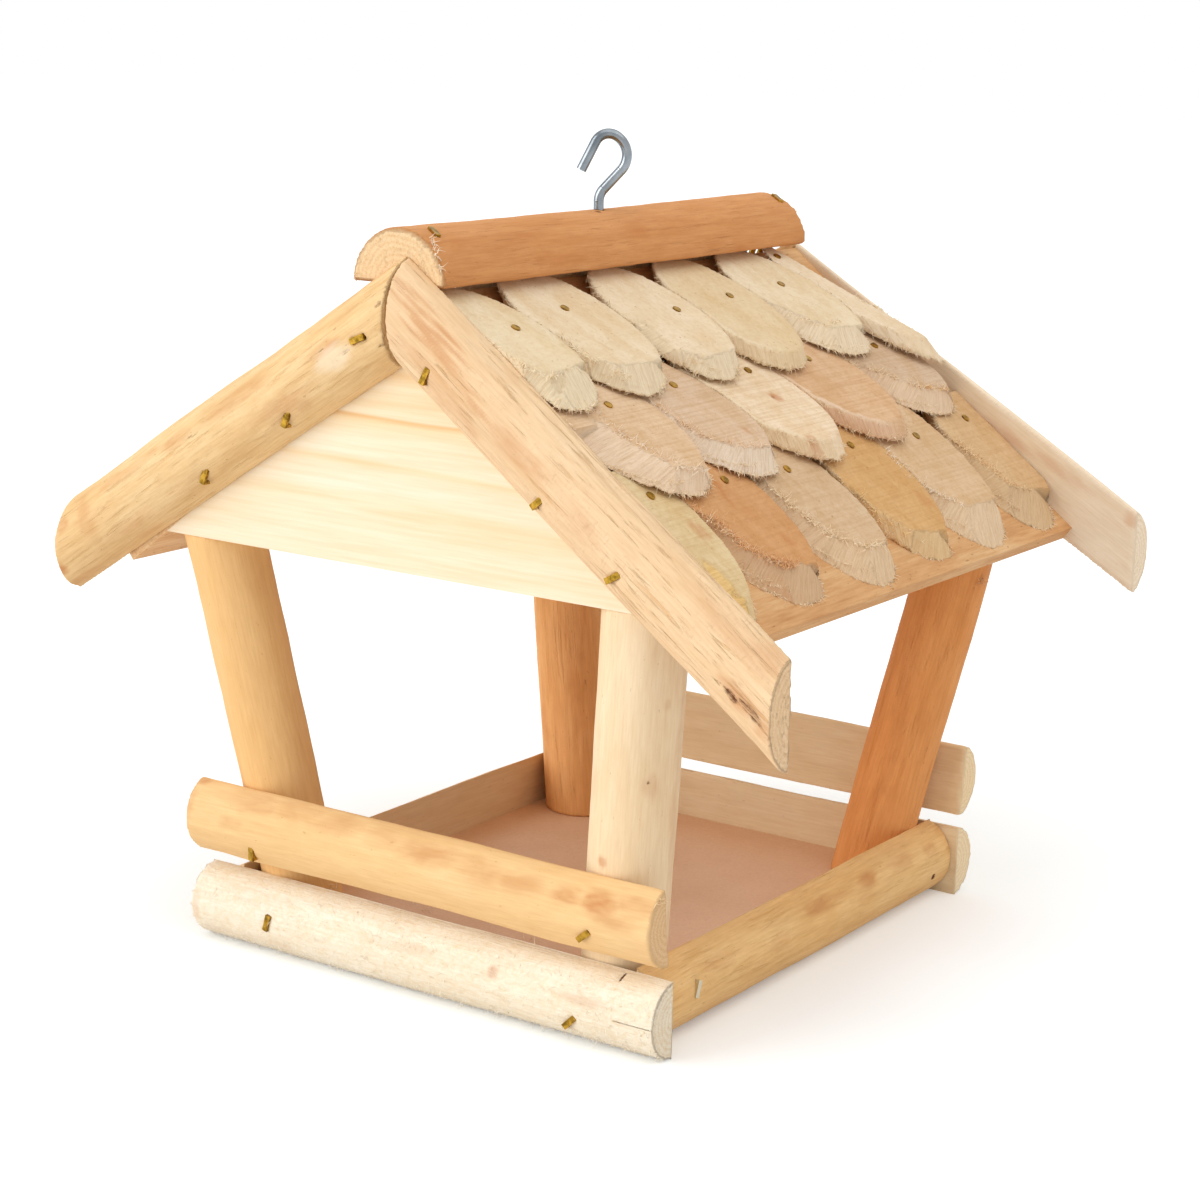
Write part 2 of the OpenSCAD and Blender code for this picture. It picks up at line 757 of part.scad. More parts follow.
module panel_nail_set(grow = 0) {
    for (side = [0, 1]) on_slope(side)
        for (u = PANEL_NAIL_PLACES)
            for (y = [-1, 1])
                translate([u, y * (roof_half_d - panel_nail_inset), 0]) {
                    translate([0, 0, -panel_nail_head_t - grow])
                        cylinder(d = panel_nail_head_d + 2 * grow, h = panel_nail_head_t + 2 * grow);
                    translate([0, 0, -panel_nail_len - grow])
                        cylinder(d = panel_nail_d + 2 * grow, h = panel_nail_len);
                }
}

module panel_nails() {
    color(zinc) panel_nail_set();
}

module floor_screws(grow = 0) {
    head_h = (screw_head_d - screw_d) / 2;
    for (p = POSTS) translate([post_foot_x(p), post_foot_y(p), floor_lift]) {
        cylinder(d1 = screw_head_d + 2 * grow, d2 = screw_d + 2 * grow, h = head_h);
        translate([0, 0, -grow]) cylinder(d = screw_d + 2 * grow, h = screw_len + 2 * grow);
    }
}

module post_pins(grow = 0) {
    for (p = POSTS)
        translate([post_x(p, gable_bottom), p[1] * (roof_half_d - pin_inset),
                gable_bottom - pin_below - grow])
            cylinder(d = pin_d + 2 * grow, h = pin_below + pin_above + 2 * grow);
}

module frame_screws() {
    color(zinc) {
        floor_screws();
        post_pins();
    }
}

floor_panel();
front_lower_rail();
front_upper_rail();
back_lower_rail();
back_upper_rail();
left_side_rail();
right_side_rail();
front_left_post();
front_right_post();
back_left_post();
back_right_post();
front_gable_board();
back_gable_board();
left_roof_panel();
right_roof_panel();
front_left_rake();
front_right_rake();
back_left_rake();
back_right_rake();
ridge_log();
hanging_hook();
rail_staples();
roof_staples();
shingle_nails();
panel_nails();
frame_screws();
for (side = [0, 1]) for (row = [0:2]) for (i = [0:len(ROWS[row]) - 1])
    color(row_colors[row]) shingle(side, row, i);
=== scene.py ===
import math

import bpy
import numpy as np
from mathutils import Matrix, Vector
from mathutils.bvhtree import BVHTree
from mathutils.kdtree import KDTree


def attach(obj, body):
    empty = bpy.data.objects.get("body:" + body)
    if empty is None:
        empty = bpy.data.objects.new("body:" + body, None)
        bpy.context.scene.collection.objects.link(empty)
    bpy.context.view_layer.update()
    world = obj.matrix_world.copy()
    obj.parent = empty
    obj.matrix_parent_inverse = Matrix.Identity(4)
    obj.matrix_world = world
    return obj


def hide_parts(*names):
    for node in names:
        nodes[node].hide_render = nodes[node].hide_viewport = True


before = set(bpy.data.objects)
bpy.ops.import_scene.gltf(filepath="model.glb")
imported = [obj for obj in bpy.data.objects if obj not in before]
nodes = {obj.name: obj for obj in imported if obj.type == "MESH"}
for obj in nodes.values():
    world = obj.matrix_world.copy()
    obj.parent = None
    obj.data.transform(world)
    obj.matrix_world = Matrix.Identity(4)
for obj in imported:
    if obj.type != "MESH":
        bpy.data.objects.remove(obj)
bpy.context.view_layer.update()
MM = 0.001

# The camera of the photograph, for a picture 1200 pixels wide and high
CAMERA_AT = Vector((0.51627, -0.76927, 0.32759))
CAMERA_TURN = math.radians(34.167)
CAMERA_RISE = math.radians(12.923)
CAMERA_ROLL = math.radians(1.384)
FOCAL = 2678.9
CENTRE = 600.0
SENSOR = 36

back = Vector((
    math.sin(CAMERA_TURN) * math.cos(CAMERA_RISE),
    -math.cos(CAMERA_TURN) * math.cos(CAMERA_RISE),
    math.sin(CAMERA_RISE),
))
level = (-back).cross(Vector((0, 0, 1))).normalized()
above = level.cross(-back)
cam_x = math.cos(CAMERA_ROLL) * level + math.sin(CAMERA_ROLL) * above
cam_y = math.cos(CAMERA_ROLL) * above - math.sin(CAMERA_ROLL) * level

scene = bpy.context.scene


def added(name, data):
    """A new object in the scene."""
    obj = bpy.data.objects.new(name, data)
    scene.collection.objects.link(obj)
    return obj


camera = added("camera", bpy.data.cameras.new("camera"))
turn = Matrix((cam_x, cam_y, back)).transposed()
camera.matrix_world = Matrix.Translation(CAMERA_AT) @ turn.to_4x4()
camera.data.sensor_width = SENSOR
camera.data.lens = FOCAL * SENSOR / (2 * CENTRE)
camera.data.clip_end = 50
scene.camera = camera


def look_tree():
    """All the CAD solids as one tree for rays, with the node of each face."""
    points, faces, owners = [], [], []
    for name, obj in nodes.items():
        base = len(points)
        points += [v.co.copy() for v in obj.data.vertices]
        for poly in obj.data.polygons:
            faces.append([base + i for i in poly.vertices])
            owners.append(name)
    return BVHTree.FromPolygons(points, faces), owners


TREE, OWNERS = look_tree()


def hit(px, py):
    """(node, point, normal) of what the camera sees at a point of the photograph."""
    ray = -back + cam_x * ((px - CENTRE) / FOCAL) - cam_y * ((py - CENTRE) / FOCAL)
    point, normal, face, _ = TREE.ray_cast(CAMERA_AT, ray)
    if point is None:
        return None, None, None
    return OWNERS[face], np.array(point), np.array(normal)


def grid_value(ix, iy, iz, seed):
    """A number from 0 to 1 for each point of a grid, the same in each run."""
    h = (ix * 374761393 + iy * 668265263 + iz * 1442695041 + seed * 974634777) & 0xFFFFFFFF
    h = ((h ^ (h >> 13)) * 1274126177) & 0xFFFFFFFF
    return ((h ^ (h >> 16)) & 0xFFFF) / 65535.0


def noise(points, size, seed):
    """Smooth noise from -1 to 1; size is the width of its lumps, one number or one per axis."""
    q = points / np.asarray(size, float)
    i = np.floor(q).astype(np.int64)
    f = q - i
    f = f * f * (3 - 2 * f)
    total = np.zeros(len(points))
    for corner in range(8):
        d = np.array([corner & 1, corner >> 1 & 1, corner >> 2 & 1])
        w = np.prod(np.where(d == 1, f, 1 - f), axis=1)
        total += w * grid_value(i[:, 0] + d[0], i[:, 1] + d[1], i[:, 2] + d[2], seed)
    return total * 2 - 1


def ease(x, low, high):
    """0 below low, 1 above high, smooth between."""
    t = np.clip((x - low) / (high - low), 0, 1)
    return t * t * (3 - 2 * t)


def unit(v):
    v = np.asarray(v, float)
    return v / np.linalg.norm(v)


def rgb(r, g, b):
    """A colour as seen on a screen, 0 to 255, as the renderer's linear values."""
    return tuple(((c / 255 + 0.055) / 1.055) ** 2.4 if c > 10 else c / 3294 for c in (r, g, b))


WHITE = (1, 1, 1)
SCAR = rgb(92, 50, 24)
# STAIN colours the real stains, and also the painted shade strip down the front right post's right side
STAIN = rgb(196, 122, 66)
PALE = rgb(252, 236, 208)
SPECK = rgb(150, 96, 52)


def tint(amount, color):
    """White where amount is 0, the colour where it is 1."""
    return tuple(1 - amount * (1 - c) for c in color)


class Tree:
    """The nodes of a material or of the world, with short ways to add them."""

    def __init__(self, owner):
        owner.use_nodes = True
        self.tree = owner.node_tree
        self.tree.nodes.clear()

    def new(self, kind):
        return self.tree.nodes.new("ShaderNode" + kind)

    def link(self, a, b):
        self.tree.links.new(a, b)

    def put(self, socket, value):
        if isinstance(value, bpy.types.NodeSocket):
            self.link(value, socket)
        else:
            socket.default_value = value

    def attribute(self, name, output="Vector"):
        n = self.new("Attribute")
        n.attribute_name = name
        return n.outputs[output]

    def place(self):
        return self.new("TexCoord").outputs["Object"]

    def noise(self, vector, scale, detail, rough=0.55, warp=0.0, turn=0.0):
        """Noise from 0 to 1; scale is the number of its lumps in a metre along each axis."""
        where = self.new("Mapping")
        self.link(vector, where.inputs[0])
        where.inputs["Rotation"].default_value = (0, 0, turn)
        where.inputs["Scale"].default_value = scale
        n = self.new("TexNoise")
        self.link(where.outputs[0], n.inputs["Vector"])
        n.inputs["Scale"].default_value = 1
        n.inputs["Detail"].default_value = detail
        n.inputs["Roughness"].default_value = rough
        n.inputs["Distortion"].default_value = warp
        return n.outputs["Fac"]

    def times(self, a, b):
        return self.math("MULTIPLY", a, b)

    def times_plus(self, a, b, c):
        return self.math("MULTIPLY_ADD", a, b, c)

    def math(self, kind, a, b=0.0, c=0.0):
        n = self.new("Math")
        n.operation = kind
        for socket, value in zip(n.inputs, (a, b, c)):
            self.put(socket, value)
        return n.outputs[0]

    def ramp(self, value, *stops):
        n = self.new("ValToRGB")
        self.link(value, n.inputs[0])
        while len(n.color_ramp.elements) < len(stops):
            n.color_ramp.elements.new(0.5)
        for element, (at, color) in zip(n.color_ramp.elements, stops):
            element.position = at
            element.color = (*color, 1)
        return n.outputs[0]

    def range(self, value, low, high, to_low=0.0, to_high=1.0):
        n = self.new("MapRange")
        n.interpolation_type = "SMOOTHSTEP"
        self.put(n.inputs[0], value)
        for i, number in enumerate((low, high, to_low, to_high)):
            n.inputs[i + 1].default_value = number
        return n.outputs[0]

    def mix(self, factor, a, b, kind="MIX"):
        n = self.new("Mix")
        n.data_type = "RGBA"
        n.blend_type = kind
        self.put(n.inputs[0], factor)
        for socket, value in ((n.inputs[6], a), (n.inputs[7], b)):
            self.put(socket, value if isinstance(value, bpy.types.NodeSocket) else (*value, 1))
        return n.outputs[2]

    def shade(self, color, value, low, dark, high):
        """The colour times dark where value is low, and the colour itself where it is high."""
        return self.mix(1.0, color, self.ramp(value, (low, dark), (high, WHITE)), "MULTIPLY")

    def swing(self, value, amount):
        """A value from 0 to 1 as one round 0, times amount."""
        return self.times(self.math("SUBTRACT", value, 0.5), amount)

    def split(self, value, kind="Color"):
        """The three parts of a colour or a vector."""
        n = self.new("Separate" + kind)
        self.link(value, n.inputs[0])
        return n.outputs[0], n.outputs[1], n.outputs[2]

    def lit(self, kind, color, strength=None):
        """The output of a new shader node of this colour and strength."""
        n = self.new(kind)
        n.inputs[0].default_value = (*color, 1)
        if strength is not None:
            n.inputs[1].default_value = strength
        return n.outputs[0]

    def show(self, out, light, seen):
        """Shows `seen` to rays that look at it directly, mirrored or through glass, else `light`."""
        path = self.new("LightPath").outputs
        which = self.math("MAXIMUM", path["Is Camera Ray"], path["Is Glossy Ray"])
        which = self.math("MAXIMUM", which, path["Is Transmission Ray"])
        pick = self.new("MixShader")
        for socket, source in zip(pick.inputs, (which, light, seen)):
            self.link(source, socket)
        self.link(pick.outputs[0], self.new(out).inputs[0])


class Shader(Tree):
    """A new material's nodes, round one principled shader."""

    def __init__(self, name):
        self.material = bpy.data.materials.new(name)
        super().__init__(self.material)
        self.bsdf = self.new("BsdfPrincipled")
        self.link(self.bsdf.outputs[0], self.new("OutputMaterial").inputs[0])

    def bump(self, height, depth, strength):
        n = self.new("Bump")
        n.inputs["Strength"].default_value = strength
        n.inputs["Distance"].default_value = depth
        self.link(height, n.inputs["Height"])
        self.link(n.outputs[0], self.bsdf.inputs["Normal"])

    def finish(self, color, roughness, specular=0.25, metallic=0.0):
        self.put(self.bsdf.inputs["Base Color"], color)
        self.put(self.bsdf.inputs["Roughness"], roughness)
        self.bsdf.inputs["Specular IOR Level"].default_value = specular
        self.bsdf.inputs["Metallic"].default_value = metallic
        return self.material


# End grain: its rings in a metre times 2 pi, and how far they stray, in metres
RING_WAVES = 3300.0
RING_WOBBLE = 0.004


def timber(name, streaks, fibres, clouds, specks, depth, fuzz, tears):
    """Peeled or split wood. Its meshes carry the grain's frame, a base colour and painted marks."""
    s = Shader(name)
    grain = s.attribute("grain")
    tone = s.attribute("tone", "Color")
    scar, stain, cut = s.split(s.attribute("mark", "Color"))
    pale = s.attribute("mark", "Alpha")

    broad = s.noise(grain, (14, 190, 190), 3, 0.6)
    fine = s.noise(grain, (90, 1300, 1300), 3, 0.65)
    cloud = s.noise(grain, (38, 90, 90), 3, 0.6, 0.4)
    dots = s.noise(grain, (420, 900, 900), 2, 0.6)

    color = s.shade(tone, broad, 0.3, tint(streaks, (0.84, 0.75, 0.63)), 0.6)
    color = s.shade(color, fine, 0.3, tint(fibres, (0.80, 0.71, 0.60)), 0.62)
    color = s.shade(color, cloud, 0.34, tint(clouds, (0.88, 0.79, 0.67)), 0.6)
    color = s.mix(s.range(dots, 0.70, 0.76, 0.0, specks), color, SPECK)
    # Long shallow tears and short cracks across the grain
    long_tear = s.noise(grain, (42, 640, 640), 4, 0.68, 0.5)
    torn = s.times(s.range(long_tear, 0.54, 0.68), s.range(cloud, 0.36, 0.56))
    crack = s.noise(grain, (1300, 330, 330), 4, 0.65, 0.8)
    cracked = s.times(s.range(crack, 0.55, 0.72, 0.0, 0.30), s.range(broad, 0.38, 0.60))
    opened = s.times(s.math("MAXIMUM", torn, cracked), tears)
    color = s.mix(opened, color, s.mix(1.0, color, (0.90, 0.77, 0.61), "MULTIPLY"))

    patch = s.times(stain, s.range(cloud, 0.30, 0.62, 1.0, 0.35))
    color = s.mix(patch, color, STAIN)
    color = s.mix(pale, color, PALE)

    # Sawn end grain: rings round the pith and pores
    _, gy, gz = s.split(grain, "XYZ")
    pith = s.math("SQRT", s.math("ADD", s.times(gy, gy), s.times(gz, gz)))
    stray = s.times_plus(s.noise(grain, (60, 60, 60), 2), RING_WOBBLE, pith)
    rings = s.times_plus(s.math("SINE", s.times(stray, RING_WAVES)), 0.5, 0.5)
    pores = s.noise(grain, (1500, 1500, 1500), 4, 0.7)
    sawn = s.shade(tone, rings, 0.0, (0.93, 0.89, 0.83), 0.8)
    sawn = s.shade(sawn, pores, 0.32, (0.86, 0.77, 0.65), 0.54)
    color = s.mix(cut, color, sawn)

    edge = s.math("ADD", scar, s.swing(fine, 0.9))
    edge = s.math("ADD", edge, s.swing(dots, 0.5))
    scarred = s.times(s.range(edge, 0.32, 0.72), s.range(scar, 0.05, 0.3))
    color = s.mix(scarred, color, SCAR)

    height = s.times_plus(fine, 0.55 + fuzz, s.times(broad, 0.5))
    height = s.math("ADD", height, s.times(s.times(pores, cut), 0.8))
    if fuzz:
        curls = s.noise(grain, (300, 420, 420), 4, 0.6, 1.4)
        height = s.times_plus(curls, fuzz * 2.2, height)
        color = s.shade(color, curls, 0.36, (0.95, 0.90, 0.82), 0.56)
    height = s.math("SUBTRACT", height, s.times(scarred, 0.6))
    height = s.math("SUBTRACT", height, s.times(opened, 1.1))
    s.bump(height, depth * MM, 0.9)
    return s.finish(color, s.range(fine, 0.2, 0.8, 0.62, 0.86))


def slice_wood(name):
    """A slanting slice of a branch: a sawn top, and the branch's fibrous side as its bevel."""
    s = Shader(name)
    grain = s.attribute("grain")
    face = s.attribute("face")
    tone = s.attribute("tone", "Color")
    side_tone = s.attribute("side_tone", "Color")
    scar, stain, side = s.split(s.attribute("mark", "Color"))
    pale = s.attribute("mark", "Alpha")

    sawn = s.attribute("tone", "Alpha")
    saw = s.noise(face, (950, 30, 0), 3, 0.6, 0.15, turn=0.16)
    felt = s.noise(face, (520, 520, 200), 4, 0.65, 0.6)
    figure = s.noise(face, (45, 90, 0), 3, 0.55, 0.8, turn=0.1)
    pores = s.noise(grain, (260, 1500, 1500), 3, 0.7)
    dots = s.noise(face, (700, 700, 400), 2, 0.5)

    top = s.shade(tone, felt, 0.34, (0.93, 0.89, 0.82), 0.58)
    top = s.shade(top, figure, 0.36, (0.93, 0.88, 0.80), 0.6)
    lined = s.shade(top, saw, 0.34, (0.86, 0.79, 0.70), 0.58)
    top = s.mix(sawn, top, lined)
    top = s.mix(s.range(dots, 0.70, 0.76, 0.0, 0.6), top, rgb(170, 122, 78))

    lines = s.noise(grain, (110, 1500, 1500), 4, 0.7)
    bark = s.shade(side_tone, lines, 0.34, (0.85, 0.79, 0.72), 0.58)
    bark = s.shade(bark, pores, 0.3, (0.92, 0.88, 0.82), 0.52)

    color = s.mix(side, top, bark)
    color = s.mix(s.times(stain, s.range(figure, 0.35, 0.6, 1.0, 0.4)), color, STAIN)
    color = s.mix(pale, color, PALE)
    edge = s.math("ADD", scar, s.swing(lines, 0.8))
    scarred = s.times(s.range(edge, 0.35, 0.75), s.range(scar, 0.05, 0.3))
    color = s.mix(scarred, color, SCAR)

    high = s.times_plus(s.times(saw, sawn), 0.7, s.times(felt, 0.8))
    low = s.times_plus(lines, 1.3, s.times(pores, 0.4))
    height = s.math("ADD", s.times(low, side), high)
    s.bump(height, 0.30 * MM, 0.9)
    return s.finish(color, s.range(saw, 0.2, 0.8, 0.68, 0.88), 0.2)


# The heights in metres between which the pine board's growth lines lie
LINES_LOW, LINES_HIGH = 0.150, 0.235


def pine_board(name):
    """Planed pale pine with a few orange growth lines along the board."""
    s = Shader(name)
    p = s.place()
    px, _, pz = s.split(p, "XYZ")
    wave = s.noise(p, (5, 5, 16), 2, 0.5)
    height = s.times_plus(wave, 0.016, pz)
    height = s.times_plus(px, 0.02, height)
    lines = s.range(height, LINES_LOW, LINES_HIGH)
    band = s.ramp(
        lines,
        (0.00, rgb(252, 237, 211)), (0.16, rgb(251, 233, 202)), (0.20, rgb(252, 238, 214)),
        (0.31, rgb(252, 236, 210)), (0.345, rgb(250, 227, 190)), (0.37, rgb(252, 238, 213)),
        (0.52, rgb(252, 236, 208)), (0.60, rgb(249, 224, 184)), (0.625, rgb(242, 202, 150)),
        (0.64, rgb(252, 236, 208)), (0.78, rgb(251, 232, 200)), (0.86, rgb(249, 222, 182)),
        (0.90, rgb(251, 234, 204)), (1.00, rgb(250, 230, 196)),
    )
    fine = s.noise(p, (24, 24, 620), 3, 0.6)
    soft = s.noise(p, (9, 9, 120), 2, 0.5)
    color = s.shade(band, fine, 0.32, (0.95, 0.90, 0.82), 0.6)
    color = s.shade(color, soft, 0.34, (0.96, 0.91, 0.83), 0.6)
    s.bump(s.times_plus(fine, 1.0, soft), 0.10 * MM, 0.6)
    return s.finish(color, s.range(fine, 0.2, 0.8, 0.55, 0.75), 0.3)


def roof_board(name, dark, middle, light):
    """Sawn board with its grain along the ridge."""
    s = Shader(name)
    p = s.place()
    broad = s.noise(p, (120, 14, 120), 4, 0.6, 0.5)
    fine = s.noise(p, (900, 70, 900), 3, 0.65)
    dots = s.noise(p, (900, 300, 900), 2)
    color = s.ramp(broad, (0.30, dark), (0.5, middle), (0.68, light))
    color = s.shade(color, fine, 0.3, (0.84, 0.74, 0.62), 0.6)
    color = s.mix(s.range(dots, 0.66, 0.74, 0.0, 0.6), color, rgb(150, 94, 50))
    s.bump(s.times_plus(fine, 1.0, broad), 0.2 * MM, 0.8)
    return s.finish(color, s.range(fine, 0.2, 0.8, 0.62, 0.85), 0.25)


def hard_board(name):
    """Smooth pinkish brown hardboard with faint felted fibres."""
    s = Shader(name)
    p = s.place()
    felt = s.noise(p, (700, 700, 700), 4, 0.7, 1.2)
    cloud = s.noise(p, (26, 26, 26), 3, 0.5)
    color = s.ramp(felt, (0.3, rgb(234, 194, 164)), (0.62, rgb(244, 210, 180)))
    color = s.shade(color, cloud, 0.3, (0.93, 0.88, 0.83), 0.65)
    s.bump(felt, 0.06 * MM, 0.5)
    return s.finish(color, s.range(felt, 0.2, 0.8, 0.45, 0.62), 0.35)


# One staple has lost its brass: where it is, how far its silver reaches and its colour
SILVER_AT = hit(697, 990)[1]
SILVER_NEAR, SILVER_FAR = 6 * MM, 10 * MM
SILVER = rgb(206, 200, 178)


def metal(name, dark, light, rough, size, dent, silver_at=None):
    """Wire with spots; size is the number of spots in a metre, dent the depth of its dents."""
    s = Shader(name)
    p = s.place()
    spots = s.noise(p, (size, size, size), 3, 0.6)
    fine = s.noise(p, (2600, 2600, 2600), 2, 0.6)
    color = s.ramp(spots, (0.35, dark), (0.62, light))
    if silver_at is not None:
        away = s.new("VectorMath")
        away.operation = "DISTANCE"
        s.link(p, away.inputs[0])
        away.inputs[1].default_value = tuple(silver_at)
        color = s.mix(s.range(away.outputs["Value"], SILVER_NEAR, SILVER_FAR, 1.0, 0.0), color, SILVER)
    s.bump(fine, dent * MM, 0.4)
    return s.finish(color, s.range(fine, 0.3, 0.7, rough - 0.06, rough + 0.08), 0.5, 1.0)


def torn_fibre(name):
    """A loose fibre of wood, coloured by its mesh."""
    s = Shader(name)
    tone = s.attribute("tone", "Color")
    p = s.place()
    fine = s.noise(p, (900, 900, 900), 2, 0.6)
    color = s.shade(tone, fine, 0.3, (0.86, 0.76, 0.64), 0.6)
    return s.finish(color, s.range(fine, 0.2, 0.8, 0.7, 0.9), 0.15)


# Name, streaks, fibres, clouds, specks, depth of the bump in millimetres, fuzz, tears
PEELED = timber("peeled_wood", 0.70, 0.55, 0.50, 0.45, 0.26, 0.0, 0.60)
SMOOTH = timber("smooth_peeled_wood", 0.30, 0.35, 0.30, 0.25, 0.16, 0.0, 0.22)
FUZZY = timber("fuzzy_pale_wood", 0.20, 0.30, 0.25, 0.15, 0.34, 0.5, 0.0)
SPLIT = timber("split_wood", 0.40, 0.50, 0.30, 0.20, 0.30, 0.0, 0.85)
SLICE = slice_wood("sliced_branch")
FIBRE = torn_fibre("torn_fibre")
# Name, colours, roughness, spots in a metre, depth of the dents in millimetres, silver place
BRASS = metal("brass_wire", rgb(118, 89, 26), rgb(190, 148, 57), 0.36, 500, 0.02, SILVER_AT)
ZINC = metal("zinc_wire", rgb(113, 120, 126), rgb(152, 158, 163), 0.20, 90, 0.004)
PINE = pine_board("pine_board")
ROOF = roof_board("roof_board", rgb(206, 152, 102), rgb(222, 174, 122), rgb(232, 192, 144))
PALE_ROOF = roof_board("pale_roof_board", rgb(226, 184, 136), rgb(240, 204, 158), rgb(246, 218, 178))
FLOOR = hard_board("hard_board")


def tree_of(points):
    """A search tree of places, whose find gives their index too."""
    tree = KDTree(len(points))
    for index, point in enumerate(points):
        tree.insert(point, index)
    tree.balance()
    return tree


FASTENERS = ("rail_staples", "roof_staples", "shingle_nails")
NEAR = tree_of([v.co for name in FASTENERS for v in nodes[name].data.vertices])


def read(mesh):
    """(points, normals) of a mesh's vertices."""
    count = len(mesh.vertices)
    points = np.zeros(count * 3, np.float32)
    normals = np.zeros(count * 3, np.float32)
    mesh.vertices.foreach_get("co", points)
    mesh.vertex_normals.foreach_get("vector", normals)
    return points.reshape(-1, 3).astype(float), normals.reshape(-1, 3).astype(float)


def write(mesh, points):
    """Moves a mesh's vertices."""
    mesh.vertices.foreach_set("co", points.astype(np.float32).ravel())
    mesh.update()


def paint(mesh, name, values, kind="FLOAT_COLOR"):
    """Stores one value per vertex for the materials."""
    layer = mesh.attributes.new(name, kind, "POINT")
    field = "vector" if kind == "FLOAT_VECTOR" else "color"
    layer.data.foreach_set(field, np.asarray(values, np.float32).ravel())


def with_alpha(colors, alpha=1.0):
    """Each vertex's colour with a fourth value."""
    return np.concatenate([colors, np.full((len(colors), 1), alpha)], axis=1)


def remeshed(node, voxel):
    """A new object with the node's form in small even faces."""
    obj = added("dressed_" + node, nodes[node].data.copy())
    obj.data.materials.clear()
    step = obj.modifiers.new("small_faces", "REMESH")
    step.mode = "VOXEL"
    step.voxel_size = voxel
    step.use_smooth_shade = True
    graph = bpy.context.evaluated_depsgraph_get()
    mesh = bpy.data.meshes.new_from_object(obj.evaluated_get(graph))
    obj.modifiers.clear()
    rough = obj.data
    obj.data = mesh
    bpy.data.meshes.remove(rough)
    return obj


def fastener_gap(points):
    """How far each point is from a staple or nail."""
    return np.array([NEAR.find(p)[2] for p in points])


def clear_of_fasteners(points):
    """0 beside a staple or nail, 1 away from it, so that no wood covers its head."""
    return ease(fastener_gap(points), 1.2 * MM, 4.5 * MM)


def adopt(obj, node, material):
    """Puts the dressed object in the node's place."""
    obj.data.materials.append(material)
    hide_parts(node)
    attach(obj, "root")


